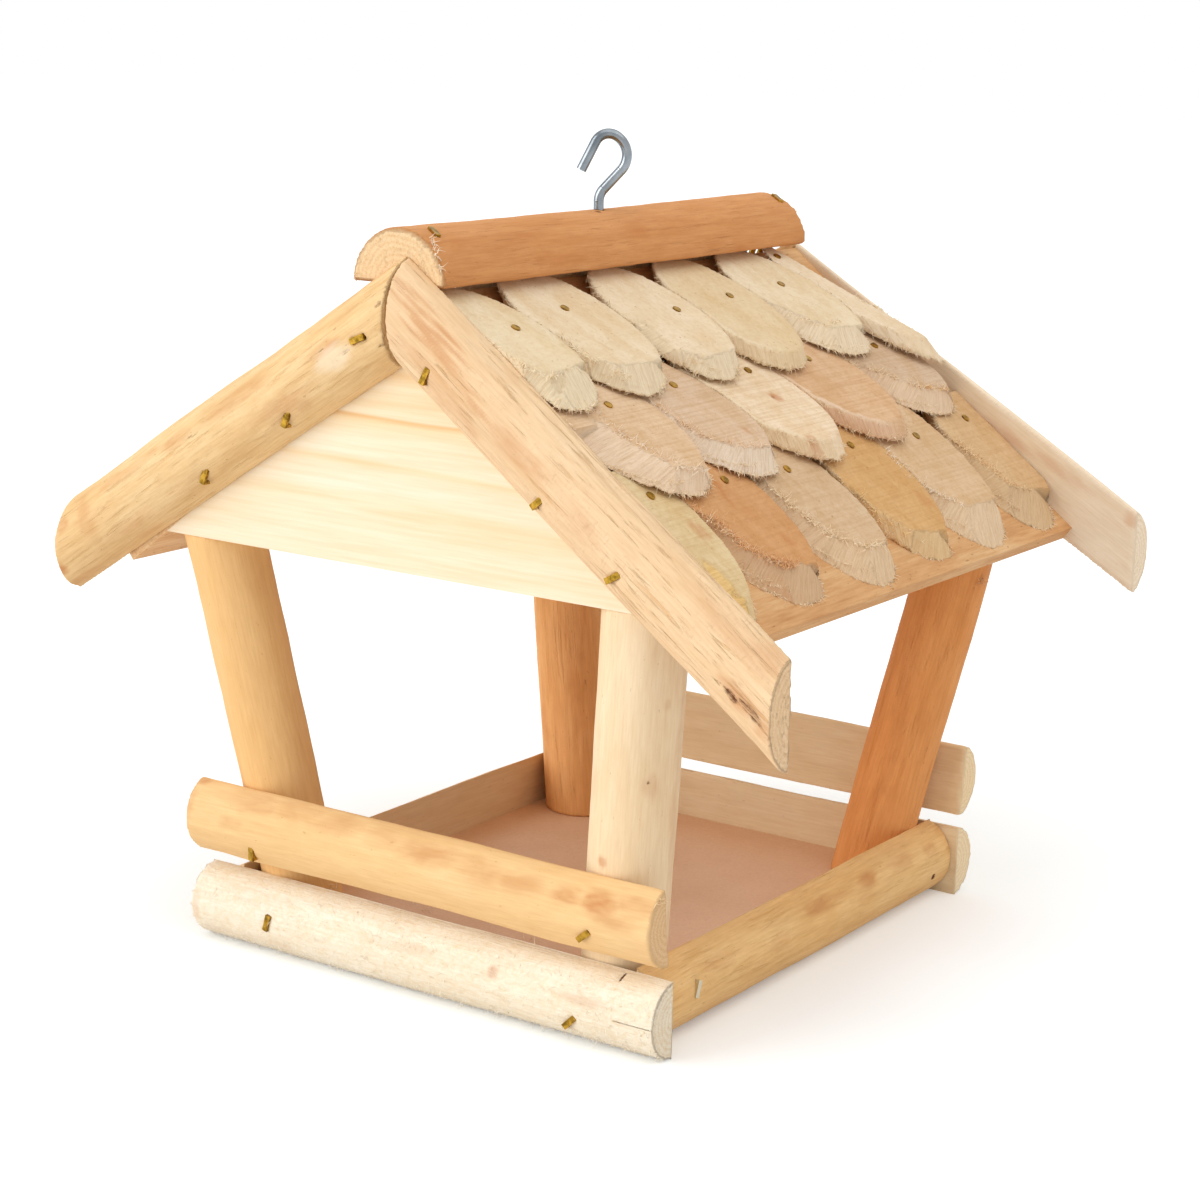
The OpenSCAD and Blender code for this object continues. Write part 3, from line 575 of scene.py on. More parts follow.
# Marks seen on the wood, by their place in the photograph: pixel, length along the grain and
# width in millimetres, strength
MARKS = [
    # front right post: knot, a few specks, and a long orange-brown strip down its right side that is
    # painted shade
    ("scar", [(649, 783, 1.3, 1.1, 0.55), (655, 776, 0.7, 0.7, 0.5)]),
    # the 60 mm strip at (676, 800) is painted shade on the post's shaded right side, not a stain of the
    # wood
    ("stain", [(651, 788, 5, 3, 0.35), (668, 705, 2, 1.5, 0.6), (676, 800, 60, 3.4, 0.32),
        (602, 862, 2, 2, 0.7)]),
    # front left rake: brown scars, peeled patch, cut line near its end
    ("scar", [(318, 352, 6, 1.2, 0.36), (345, 352, 3, 0.9, 0.42), (378, 304, 3, 1.2, 0.5),
        (382, 345, 2, 0.9, 0.45), (190, 437, 8, 1.1, 0.36), (207, 433, 3, 0.9, 0.38)]),
    ("pale", [(333, 358, 8, 4, 0.6)]),
    ("stain", [(322, 350, 9, 2.4, 0.7), (176, 441, 8, 2.6, 0.7), (85, 520, 4, 9, 0.35),
        (60, 570, 3, 3, 0.8), (62, 525, 3, 3, 0.6), (282, 404, 14, 3, 0.35), (130, 470, 16, 2.6, 0.5),
        (235, 400, 18, 2.6, 0.35)]),
    # front right rake: long tears at the top, scar near the lower end
    ("stain", [(402, 285, 9, 0.7, 0.5), (410, 300, 12, 0.7, 0.5), (418, 318, 14, 0.8, 0.5),
        (428, 334, 12, 0.7, 0.5), (425, 303, 8, 0.7, 0.5), (436, 345, 14, 0.8, 0.5),
        (446, 362, 14, 0.7, 0.5), (442, 330, 10, 0.7, 0.5), (456, 376, 12, 0.8, 0.5),
        (467, 395, 12, 0.7, 0.5), (414, 332, 8, 0.7, 0.5), (432, 368, 10, 0.7, 0.5),
        (478, 412, 10, 0.7, 0.5), (452, 350, 10, 0.6, 0.5), (455, 400, 10, 4, 0.3),
        (520, 455, 14, 4, 0.35), (575, 520, 12, 3.5, 0.3), (740, 700, 9, 3, 0.7), (762, 730, 4, 3, 0.7),
        (745, 640, 20, 5, 0.25), (760, 655, 12, 3, 0.4)]),
    ("scar", [(716, 682, 3, 1, 0.45), (729, 694, 4, 1.6, 0.6), (746, 707, 5, 1.5, 0.62),
        (755, 721, 3, 1.6, 0.55)]),
    # front upper rail: orange mottling over its upper half
    ("stain", [(250, 800, 14, 4, 0.55), (300, 812, 12, 4.5, 0.4), (340, 826, 10, 4, 0.55),
        (380, 838, 8, 4, 0.35), (430, 856, 14, 4, 0.6), (475, 872, 12, 5, 0.35), (520, 884, 10, 4, 0.4),
        (565, 895, 6, 3.5, 0.75), (600, 905, 7, 5, 0.8), (635, 908, 8, 4, 0.55), (620, 925, 8, 2.5, 0.5),
        (188, 800, 3, 8, 0.45), (200, 780, 5, 2, 0.8), (230, 823, 5, 2.5, 0.5)]),
    ("scar", [(560, 893, 1.8, 1.4, 0.3)]),
    # front lower rail: nick, scratch and a stain at its end
    ("scar", [(622.5, 977, 0.6, 2.4, 0.9), (488, 965, 1, 4.5, 0.32)]),
    ("stain", [(493, 972, 2.4, 2.4, 0.55), (196, 905, 2, 7, 0.35), (580, 1000, 12, 2, 0.22),
        (400, 945, 16, 2.2, 0.18)]),
    # right side rail: brown spots
    ("stain", [(780, 940, 7, 4, 0.4), (868, 880, 7, 3, 0.6), (900, 862, 9, 3, 0.5),
        (820, 905, 9, 3, 0.5), (930, 850, 5, 3, 0.6), (720, 960, 10, 3, 0.4)]),
    ("scar", [(777, 935, 1.5, 1.2, 0.35), (850, 903, 2, 1.5, 0.35), (933, 877, 1.6, 1.6, 0.9)]),
    # ridge log: brown streaks
    ("stain", [(500, 240, 30, 4, 0.45), (650, 225, 34, 4, 0.4), (720, 250, 26, 3, 0.45),
        (560, 258, 26, 2.5, 0.4), (600, 209, 4, 2.6, 0.9)]),
    ("scar", [(598, 211, 1.6, 1.4, 0.6)]),
    # back posts
    ("stain", [(575, 660, 20, 3.5, 0.5), (545, 730, 24, 3, 0.5), (912, 650, 26, 3, 0.55),
        (890, 760, 24, 3, 0.5)]),
    ("scar", [(935, 690, 24, 2.6, 0.16), (950, 640, 20, 2.4, 0.15), (900, 700, 14, 1.6, 0.2)]),
    # back right rake and its end
    ("stain", [(1000, 430, 16, 2.5, 0.35), (1060, 470, 14, 2.2, 0.3), (1131, 520, 3, 3, 0.3)]),
    # slices
    ("scar", [(686, 548, 10, 3, 0.2), (770, 550, 8, 2, 0.24), (748, 512, 12, 1.6, 0.2),
        (773, 397, 1.4, 1.4, 0.5), (836, 352, 5, 2.5, 0.35)]),
    ("stain", [(722, 488, 14, 3, 0.55), (790, 540, 8, 2, 0.6), (735, 500, 16, 5, 0.4),
        (785, 590, 7, 4, 0.4), (777, 397, 3.5, 2.5, 0.8), (700, 530, 12, 3, 0.6), (925, 500, 10, 3, 0.4),
        (815, 445, 12, 2, 0.5), (745, 430, 10, 1.5, 0.4)]),
]
placed = {}
for kind, marks in MARKS:
    for px, py, length, width, strength in marks:
        owner, spot, _ = hit(px, py)
        placed.setdefault(owner, []).append((spot, length * MM, width * MM, kind, strength))


def marks_on(node, points, local, to_local):
    """(scar, stain, pale) of the painted marks at a piece's vertices."""
    layers = {kind: np.zeros(len(points)) for kind in ("scar", "stain", "pale")}
    rag = 0.25 * noise(local, (4 * MM, 1.2 * MM, 1.2 * MM), 41)
    for spot, length, width, kind, strength in placed.get(node, []):
        d = local - to_local(spot[None])[0]
        far = np.sqrt((d[:, 0] / length) ** 2 + (d[:, 1] ** 2 + d[:, 2] ** 2) / width ** 2) + rag
        layers[kind] = np.maximum(layers[kind], strength * (1 - ease(far, 0.45, 1.35)))
    return layers.values()


X, Y, Z = np.eye(3)
# Where the two roof slopes would meet, their slope, and how the two upper rails lean
ROOF_X, ROOF_Z = 1.0 * MM, 232.04 * MM
SLOPE = math.radians(37.5)
LEAN_FRONT, LEAN_BACK = math.radians(6.05), math.radians(6.0)
FRONT_FLAT = (0, math.cos(LEAN_FRONT), math.sin(LEAN_FRONT))
BACK_FLAT = (0, -math.cos(LEAN_BACK), math.sin(LEAN_BACK))


def down(angle, side):
    """A direction down the roof at this angle, to the right (1) or left (-1)."""
    a = math.radians(angle)
    return np.array([side * math.cos(a), 0, -math.sin(a)])


# Logs: axis, flat, base colour, material, how lumpy; the posts' frames come from their ends
LOGS = {
    "front_lower_rail": (X, Y, (254, 249, 236), FUZZY, 0.7),
    "front_upper_rail": (X, FRONT_FLAT, (246, 212, 160), SMOOTH, 0.8),
    "back_lower_rail": (X, -Y, (255, 238, 206), SMOOTH, 0.7),
    "back_upper_rail": (X, BACK_FLAT, (254, 234, 198), SMOOTH, 0.8),
    "left_side_rail": (Y, X, (255, 230, 194), SMOOTH, 0.7),
    "right_side_rail": (Y, -X, (251, 214, 156), PEELED, 0.8),
    "front_left_post": (None, None, (245, 204, 146), SMOOTH, 0.7),
    "front_right_post": (None, None, (250, 230, 198), SMOOTH, 0.6),
    "back_left_post": (None, None, (246, 190, 130), PEELED, 0.8),
    "back_right_post": (None, None, (241, 172, 108), PEELED, 0.8),
    "front_left_rake": (down(32.8, -1), Y, (244, 214, 166), PEELED, 0.9),
    "front_right_rake": (down(36.4, 1), Y, (245, 217, 181), SPLIT, 0.8),
    "back_left_rake": (down(32.0, -1), -Y, (240, 202, 156), SPLIT, 0.8),
    "back_right_rake": (down(30.5, 1), -Y, (253, 238, 216), SMOOTH, 0.7),
    "ridge_log": (Y, -Z, (225, 165, 110), PEELED, 0.8),
}
# Sawn ends that differ from their log's side, and the depth in millimetres of deep torn grain
END_TONES = {
    "ridge_log": (243, 212, 170),
    "right_side_rail": (236, 204, 160),
    "front_upper_rail": (236, 200, 156),
}
TORN = {"front_right_rake": 0.42, "front_left_rake": 0.14, "ridge_log": 0.12}
# A log's lumps: width along and across it, and height, in millimetres
LUMPS = [((46, 18, 18), 0.55), ((15, 6, 6), 0.22), ((5, 1.8, 1.8), 0.09)]
# The front rakes' torn grain needs smaller faces than the other logs
RAKE_VOXEL, LOG_VOXEL = 0.7 * MM, 1.0 * MM
# The part of a post, from its end, that shows where its axis is
END_SLAB = 0.8 * MM
# Depths of a flat's relief, of a sawn end's and of a scar, in millimetres
FLAT_RELIEF, END_RELIEF, SCAR_DEPTH = 0.12, 0.16, 0.5
# From which and to which slant a face counts as a flat, as a slice's side, or as a sawn end
FLAT, SIDE = (0.75, 0.95), (0.55, 0.80)
POST_END, RAKE_END, RAIL_END = (0.8, 0.95), (0.80, 0.93), (0.7, 0.92)
WARM = np.array([1.0, 0.95, 0.87])


def post_frame(points):
    """(origin, axes) of a leaning post: along it and across it."""
    z = points[:, 2]
    slabs = (points[z < z.min() + END_SLAB], points[z > z.max() - END_SLAB])
    foot, head = [(slab.min(0) + slab.max(0)) / 2 for slab in slabs]
    a = unit(head - foot)
    b = unit(np.cross(a, Y))
    return foot, np.stack([a, b, np.cross(a, b)])


def log_frame(points, axis, flat):
    """(origin, axes) of another log: along it, across it and out of its flat."""
    a, c = unit(axis), unit(flat)
    b = np.cross(c, a)
    origin = c * (points @ c).max()
    for v in (a, b):
        origin = origin + v * ((points @ v).min() + (points @ v).max()) / 2
    return origin, np.stack([a, b, c])


def dress_log(node, axis, flat, tone, material, lumps, seed):
    """A log with lumps, torn grain and painted marks."""
    obj = remeshed(node, RAKE_VOXEL if node.startswith("front") and "rake" in node else LOG_VOXEL)
    points, normals = read(obj.data)
    origin, turn = post_frame(points) if axis is None else log_frame(points, axis, flat)

    def to_local(p):
        return (p - origin) @ turn.T

    local = to_local(points)
    facing = normals @ turn.T
    back_face = ease(facing[:, 2], *FLAT) * (axis is not None)
    # Sawn ends: on posts they face up and down, on rakes they are plumb
    if axis is None:
        end = ease(np.abs(normals[:, 2]), *POST_END)
    elif "rake" in node:
        end = ease(np.abs(normals[:, 0]), *RAKE_END)
    else:
        end = ease(np.abs(facing[:, 0]), *RAIL_END)
    round_face = (1 - back_face) * (1 - end)
    free = clear_of_fasteners(points)
    shift = np.array([seed * 0.137, seed * 0.071, seed * 0.053])

    def field(size, number):
        return noise(local + shift, np.array(size) * MM, seed + number)

    layers = [field(size, number) for number, (size, _) in enumerate(LUMPS)]
    relief = sum(height * layer for layer, (_, height) in zip(layers, LUMPS))
    move = lumps * relief * round_face + FLAT_RELIEF * layers[-1] * back_face
    if node in TORN:
        patches = ease(field((34, 12, 12), 9), -0.5, 0.4)
        move = move + TORN[node] * field((15, 1.7, 1.7), 8) * patches * round_face
    move = move * free + END_RELIEF * field(2.2, 3) * end
    scar, stain, pale = marks_on(node, points, local, to_local)
    move = move - SCAR_DEPTH * scar * free
    write(obj.data, points + normals * (move * MM)[:, None])

    # Knife strokes: long soft changes of colour along the grain
    brown = 0.30 * ease(field((17, 5, 5), 7), 0.35, 0.8) * round_face
    if material is SMOOTH or material is FUZZY:
        brown = brown * 0.35
    stain = np.maximum(stain, brown)
    strokes = 0.6 * field((60, 9, 9), 5) + 0.5 * field((22, 14, 14), 6)
    amount = (0.5 + 0.5 * np.clip(strokes, -1, 1))[:, None]
    colors = np.array(rgb(*tone)) * (WARM * amount + (1 - amount))
    colors = colors * (1 - 0.10 * back_face[:, None])
    if node in END_TONES:
        colors = colors * (1 - end[:, None]) + np.array(rgb(*END_TONES[node])) * end[:, None]
    paint(obj.data, "grain", local + shift * 0.5 * (1 - end)[:, None], "FLOAT_VECTOR")
    paint(obj.data, "tone", with_alpha(colors))
    paint(obj.data, "mark", np.stack([scar, stain, end, pale], axis=1))
    adopt(obj, node, material)


for seed, (node, (axis, flat, tone, material, lumps)) in enumerate(LOGS.items()):
    dress_log(node, axis, flat, tone, material, lumps, 10 * seed + 3)


def row_frame(seat, tilt):
    """(origin, axes) of a row of slices on the right slope: down it, along the eave, out of it."""
    angle = SLOPE - math.radians(tilt)
    start = np.array([ROOF_X + seat * MM * math.cos(SLOPE), 0, ROOF_Z - seat * MM * math.sin(SLOPE)])
    x = np.array([math.cos(angle), 0, -math.sin(angle)])
    z = np.array([math.sin(angle), 0, math.cos(angle)])
    return start, np.stack([x, Y, z])


# Row: seat, tilt, thickness, angle of the cut, how clearly its saw marks show, its seed
ROWS = {
    "top": (4, 10.31, 5.0, 44, 0.15, 400),
    "middle": (35, 6.96, 5.5, 48, 0.8, 407),
    "bottom": (85, 0, 6.0, 52, 0.6, 413),
}
# The last slice of the top row is cut more steeply
LAST_TOP_CUT = 66
# Each slice: colour of its top, colour of its side, turn of its branch, length of its torn
# fibres in millimetres, how many
SLICES = {
    "top": [
        ((242, 225, 194), (246, 230, 200), 6, 2.2, 90),
        ((243, 225, 196), (246, 229, 200), 0, 1.8, 80),
        ((244, 226, 198), (246, 229, 200), 0, 2.6, 90),
        ((236, 215, 180), (242, 222, 190), 0, 2.0, 80),
        ((242, 225, 196), (246, 229, 202), 12, 1.8, 80),
        ((244, 226, 200), (247, 230, 204), 18, 2.2, 60),
    ],
    "middle": [
        ((236, 207, 175), (245, 221, 194), 22, 2.6, 190),
        ((231, 205, 179), (246, 228, 207), 25, 2.0, 130),
        ((250, 230, 204), (251, 229, 196), 28, 2.2, 120),
        ((231, 195, 159), (240, 205, 176), 32, 1.8, 100),
        ((220, 194, 168), (238, 212, 183), 30, 2.2, 150),
    ],
    "bottom": [
        ((236, 214, 172), (252, 218, 152), 8, 2.2, 60),
        ((222, 171, 122), (224, 190, 154), 15, 2.6, 220),
        ((226, 198, 166), (238, 210, 176), 15, 2.6, 180),
        ((226, 184, 130), (238, 206, 160), 10, 2.0, 90),
        ((230, 200, 165), (240, 214, 182), 6, 2.4, 160),
        ((224, 191, 150), (226, 196, 158), -5, 2.2, 150),
    ],
}
# Where the sawn top ends and the torn side begins, as pixels of the photograph
EDGES = {
    ("top", 0): [(487, 347), (520, 365), (550, 374), (574, 366)],
    ("top", 1): [(566, 340), (590, 357), (618, 364), (654, 360)],
    ("top", 2): [(648, 324), (678, 350), (706, 356), (734, 348)],
    ("top", 4): [(769, 301), (804, 316), (831, 326), (856, 325)],
    ("middle", 0): [(586, 404), (604, 424), (640, 446), (676, 466), (706, 470)],
    ("middle", 1): [(652, 402), (684, 424), (706, 436), (740, 446), (770, 446)],
    ("middle", 4): [(868, 366), (890, 375), (918, 386), (945, 388)],
    ("bottom", 0): [(684, 545), (712, 566), (734, 586), (748, 606)],
    ("bottom", 1): [(690, 505), (718, 522), (748, 548), (784, 562), (808, 563), (822, 556)],
    ("bottom", 2): [(766, 482), (798, 510), (830, 534), (866, 546), (884, 542)],
    ("bottom", 3): [(858, 492), (880, 518), (906, 534), (938, 530)],
    ("bottom", 4): [(884, 448), (908, 476), (936, 492), (966, 506), (992, 500)],
    ("bottom", 5): [(952, 438), (972, 454), (994, 472), (1010, 486), (1034, 488), (1048, 476)],
}

# Finer faces on the slope that the photograph shows
RIGHT_VOXEL, LEFT_VOXEL = 0.8 * MM, 1.1 * MM
# How far the shader's noise moves for each seed, in metres
SEED_SHIFT = np.array([0.011, 0.017, 0.013])
# How steeply a flatter bevel falls at most, and how much a random slice's colour strays
BEVEL_FALL = 1.3
STRAY = 0.025 * np.array([0.6, 1, 1.2])
DARKER = np.array([0.98, 0.95, 0.90])
FRINGE_RADIUS = 0.18 * MM
FRINGE_COLOR = np.array(rgb(253, 236, 206))
rng = np.random.default_rng(7)
fringe = []


def along_line(flat, knots):
    """How far each point is beside a line of knots, with its side as the sign, and along it."""
    least = np.full(len(flat), 1.0)
    beside = np.zeros(len(flat))
    passed = np.zeros(len(flat))
    begun = 0.0
    for a, b in zip(knots, knots[1:]):
        along = b - a
        span = np.linalg.norm(along)
        f = np.clip((flat - a) @ along / (along @ along), 0, 1)
        away = flat - a - f[:, None] * along
        far = np.linalg.norm(away, axis=1)
        sign = np.sign(away @ np.array([-along[1], along[0]]))
        closer = far < least
        least = np.where(closer, far, least)
        beside = np.where(closer, sign * far, beside)
        passed = np.where(closer, begun + (flat - a) @ along / span, passed)
        begun += span
    return beside, passed


def flatter_bevel(face, knots, rim_at, h, small, torn):
    """A bevel from the line of knots down to the lower rim, for each point of a slice.

    Gives how far the point drops, how clearly it is cut, and the grain's place there.
    """
    flat = face[:, :2]
    outside, passed = along_line(flat, knots)
    outside = outside * np.sign(np.median(outside[rim_at]))
    ends = 1 - ease(np.linalg.norm(flat - knots[0], axis=1), 0, 6 * MM) * (flat[:, 0] < knots[0][0])
    rims = tree_of([(x, y, 0) for x, y in flat[rim_at]])
    width = np.array([max(outside[rim_at[rims.find((x, y, 0))[1]]], 1 * MM) for x, y in flat])
    part = np.clip(outside / width, 0, 1)
    wanted = np.maximum(h * (1 - part), h - BEVEL_FALL * outside) + 0.15 * MM * small * (part > 0)
    drop = np.clip(face[:, 2] - wanted, 0, None) * (outside > 0) * ends
    cutting = ease(outside + 0.5 * MM * torn, -0.1 * MM, 0.5 * MM) * ends
    falling = np.stack([-outside, passed + 0.4 * outside, np.full(len(face), 0.01)], axis=1)
    return drop, cutting, falling


def dress_slice(side, row, index):
    """A slice with saw marks, its branch's torn side as a bevel, and fibres along its edges."""
    node = f"{side}_{row}_shingle_{index + 1}"
    right = side == "right"
    seat, tilt, thick, cut, sawn, row_seed = ROWS[row]
    if row == "top" and index == 5:
        cut = LAST_TOP_CUT
    top_tone, side_tone, turn_angle, hair, hairs = SLICES[row][index]
    seed = row_seed + 31 * index + (0 if right else 200)
    obj = remeshed(node, RIGHT_VOXEL if right else LEFT_VOXEL)
    points, normals = read(obj.data)
    # The left slope is the right one's mirror image
    flip = np.array([1 if right else -1, 1, 1])
    moved = np.array([0 if right else 2 * ROOF_X, 0, 0])
    start, axes = row_frame(seat, tilt)

    def to_row(p):
        return (p * flip + moved - start) @ axes.T

    def to_world(v):
        return (axes.T @ v) * flip

    face = to_row(points)
    facing = (normals * flip) @ axes.T
    h = thick * MM
    c, t = math.radians(cut), math.radians(turn_angle)
    branch = np.array([-math.sin(c) * math.cos(t), -math.sin(c) * math.sin(t), math.cos(c)])
    across = unit(np.cross(Z, branch))
    turn = np.stack([branch, across, np.cross(branch, across)])
    middle = np.array([face[:, 0].mean(), face[:, 1].mean(), h])

    def to_local(p):
        return (to_row(p) - middle) @ turn.T

    local = to_local(points)
    shift = seed * SEED_SHIFT

    def field(size, number, where=face):
        return noise(where + shift, np.array(size) * MM, seed + number)

    # Where the point is: side, underside, top, either rim of the side, or the side's left
    side_mask = 1 - ease(facing[:, 2], *SIDE)
    top = 1 - side_mask
    under = ease(-facing[:, 2], *FLAT)
    on_side = side_mask * (1 - under)
    low_rim = on_side * (1 - ease(face[:, 2], 0.8 * MM, 2.6 * MM))
    high_rim = on_side * ease(face[:, 2], h - 1.6 * MM, h - 0.5 * MM)
    left = ease(-facing[:, 1] + 0.7 * facing[:, 0], -0.1, 0.8)
    free = clear_of_fasteners(points)

    small = field((9, 1.6, 1.6), 2, local)
    torn = field(1.7, 3)
    coarse = field(6.0, 4)
    move = top * (0.22 * field((16, 14, 50), 0) + 0.10 * field((3.0, 22, 60), 1)) * free
    move = move + on_side * (0.30 * coarse + 0.22 * small)
    move = move + low_rim * (0.55 * torn + 0.35 * coarse) + high_rim * (0.30 * torn)
    write(obj.data, points + normals * (move * MM * (1 - under))[:, None])

    scar, stain, pale = marks_on(node, points, local, to_local)
    pale = np.maximum(pale, 0.45 * high_rim * ease(field(2.4, 5), -0.1, 0.6))
    seen = [hit(*pixel) for pixel in EDGES.get((row, index), [])] if right else []
    knots = [to_row(spot[None])[0][:2] for owner, spot, _ in seen if owner == node]
    rim_at = np.flatnonzero((face[:, 2] < 0.9 * MM) & (left > 0.2) & (on_side > 0.3))
    if len(knots) > 1 and len(rim_at):
        drop, cutting, falling = flatter_bevel(face, knots, rim_at, h, small, torn)
        drop = drop * (1 - under) * free
        cutting = cutting * (1 - under)
        points = points - drop[:, None] * axes[2]
        write(obj.data, read(obj.data)[0] - drop[:, None] * axes[2])
        side_mask = np.maximum(side_mask, cutting)
        local = np.where((cutting * (drop > 0))[:, None] > 0.5, falling, local)
    # Elsewhere the torn side reaches a little way over the edge, most at the tip and the lower left
    edge_at = np.flatnonzero((high_rim > 0.5) & (left > 0.3))
    if right and len(edge_at) and len(knots) < 2:
        edges = tree_of(points[edge_at])
        apart = np.array([edges.find(p)[2] for p in points])
        reach = (1.5 + 1.1 * field((5, 3, 30), 9) + 0.7 * torn) * MM
        over = top * (1 - ease(apart - reach, -0.5 * MM, 0.4 * MM))
        side_mask = np.maximum(side_mask, 0.85 * over)
        pale = np.maximum(pale, 0.30 * over)
    # A thin dark ring is painted round each nail
    if right:
        scar = np.maximum(scar, 0.45 * top * (1 - ease(fastener_gap(points), 0.1 * MM, 0.8 * MM)))

    def toned(color, number):
        base = np.array(rgb(*color))
        if not right:
            base = base * (1 + rng.standard_normal(3) * STRAY)
        amount = np.clip(0.5 + 0.6 * field((15, 9, 30), number), 0, 1)[:, None]
        return np.clip(base, 0, 0.97) * (DARKER * amount + (1 - amount))

    paint(obj.data, "grain", local + shift, "FLOAT_VECTOR")
    paint(obj.data, "face", face + shift, "FLOAT_VECTOR")
    paint(obj.data, "tone", with_alpha(toned(top_tone, 7), sawn))
    paint(obj.data, "side_tone", with_alpha(toned(side_tone, 8)))
    paint(obj.data, "mark", np.stack([scar, stain, side_mask, pale], axis=1))
    adopt(obj, node, SLICE)

    # Torn fibres along the upper edge, most of them on its lower left, and along the lower rim
    for mask, count, length, lift in (
        (high_rim * ease(left + 0.5 * torn, 0.3, 0.9), hairs, 0.7 * hair, 0.35),
        (low_rim * ease(facing[:, 0] + 0.4 * torn, -0.1, 0.6), 130, 1.5, -0.25),
    ):
        weight = mask * (free > 0.5)
        if weight.sum() < 1:
            continue
        for i in rng.choice(len(points), size=count if right else count // 3, p=weight / weight.sum()):
            aim = unit(facing[i] * np.array([1, 1, 0.4])) + np.array([0.35, 0, lift])
            aim = aim + 0.6 * rng.standard_normal(3)
            size = length * (0.3 + 0.9 * rng.random()) * MM
            shade = 0.86 + 0.14 * rng.random()
            root = points[i] + normals[i] * 0.05 * MM
            fringe.append((root, to_world(unit(aim)), size, FRINGE_RADIUS, FRINGE_COLOR * shade))


for side in ("right", "left"):
    for row in SLICES:
        for index in range(len(SLICES[row])):
            dress_slice(side, row, index)


# A fibre: its rings, how deep it is rooted, how thin it ends, its waves and their reach, and
# how far its middle keeps from the ground
STEPS, ROOTED, THINNER, WAVES, SWAY, OFF_GROUND = 5, 0.6 * MM, 0.75, 5, 0.12, 0.4 * MM


def strands(name, items, seed, curl):
    """Thin tapering fibres: root, direction, length, radius, colour of each."""
    own_rng = np.random.default_rng(seed)
    verts, faces, colors = [], [], []
    for root, aim, length, radius, color in items:
        aim = unit(aim)
        u = unit(np.cross(aim, own_rng.standard_normal(3)))
        w = np.cross(aim, u)
        bend = curl * own_rng.standard_normal(2)
        base = len(verts)
        start = root - aim * ROOTED
        for k in range(STEPS + 1):
            f = k / STEPS
            mid = start + aim * (length + ROOTED) * f + (u * bend[0] + w * bend[1]) * length * f * f
            mid = mid + u * (math.sin(WAVES * f + bend[1]) - math.sin(bend[1])) * SWAY * length
            mid[2] = max(mid[2], OFF_GROUND)
            r = radius * (1 - THINNER * f)
            for angle in (0, 2 * math.pi / 3, 4 * math.pi / 3):
                verts.append(mid + (u * math.cos(angle) + w * math.sin(angle)) * r)
                colors.append((*color, 1))
        for k in range(STEPS):
            for j in range(3):
                p, q = base + 3 * k + j, base + 3 * k + (j + 1) % 3
                faces.append((p, q, q + 3, p + 3))
        tip = base + 3 * STEPS
        faces += [(base, base + 2, base + 1), (tip, tip + 1, tip + 2)]
    mesh = bpy.data.meshes.new(name)
    mesh.from_pydata([tuple(v) for v in verts], [], faces)
    paint(mesh, "tone", colors)
    mesh.materials.append(FIBRE)
    obj = added(name, mesh)
    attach(obj, "root")


def loose_aim(normal, upright, wild, least, lifted):
    """A random direction out of a surface, lifted to `lifted` where it stands out less than `least`."""
    aim = unit(normal * upright + wild * rng.standard_normal(3))
    if aim @ normal < least:
        aim = unit(aim + normal * (lifted - aim @ normal))
    return aim


strands("slice_fibres", fringe, 11, 0.55)

# Torn fibres seen in the photograph: path of pixels, how many, length in millimetres, spread
# in pixels, colour
TEARS = [
    # lower left edges of the middle row
    ([(590, 406), (606, 424), (642, 446), (678, 466), (704, 470)], 130, 1.8, 2.5, (255, 240, 220)),
    ([(654, 402), (684, 424), (706, 436), (740, 446), (766, 446)], 100, 1.6, 2, (250, 226, 198)),
    ([(869, 367), (890, 375), (918, 386), (945, 388)], 80, 1.4, 2, (252, 232, 200)),
    ([(920, 386), (947, 389)], 20, 1.8, 1.5, (244, 204, 150)),
    # bottom row: curly brown and pale fibres
    ([(692, 506), (718, 522), (748, 548), (784, 564), (796, 565)], 210, 2.0, 3.5, (244, 200, 154)),
    ([(700, 512), (740, 542), (780, 564)], 70, 1.6, 3, (255, 232, 200)),
    ([(768, 484), (798, 510), (830, 534), (866, 546), (880, 542)], 150, 2.0, 3, (255, 238, 208)),
    ([(860, 494), (880, 518), (906, 534)], 50, 2.2, 2, (255, 230, 180)),
    ([(885, 450), (908, 476), (936, 492), (966, 506)], 90, 1.5, 2, (255, 244, 226)),
    ([(953, 439), (969, 451), (994, 470), (1009, 484)], 110, 1.8, 1.8, (250, 224, 184)),
    ([(1009, 484), (1031, 489)], 24, 1.5, 1.5, (248, 222, 184)),
    # top row's edges
    ([(520, 363), (548, 378), (575, 366)], 70, 1.6, 2.5, (254, 242, 216)),
    ([(557, 333), (587, 357), (633, 380)], 70, 1.6, 2.5, (254, 242, 216)),
    ([(790, 314), (828, 325), (842, 321)], 50, 1.5, 2, (254, 242, 216)),
    ([(855, 297), (897, 318), (928, 335)], 60, 1.6, 2, (254, 242, 216)),
    # ridge log's end and lower edge
    ([(430, 238), (438, 254), (442, 272)], 30, 1.7, 2, (253, 234, 208)),
    ([(352, 262), (356, 280)], 14, 1.4, 2, (250, 220, 176)),
    # corner of the eave, post under it and rails
    ([(1048, 546), (1060, 556)], 9, 5.0, 3, (226, 190, 148)),
    ([(975, 586), (984, 578)], 12, 2.4, 3, (232, 190, 142)),
    ([(320, 884), (338, 888)], 5, 3.0, 2, (255, 240, 214)),
    ([(412, 906), (428, 912)], 6, 3.0, 2, (255, 240, 214)),
    ([(524, 938), (536, 944)], 6, 3.0, 2, (255, 240, 214)),
    ([(655, 905), (664, 900)], 8, 2.4, 2, (250, 226, 184)),
]
TEAR_RADIUS = 0.23 * MM
tears = []
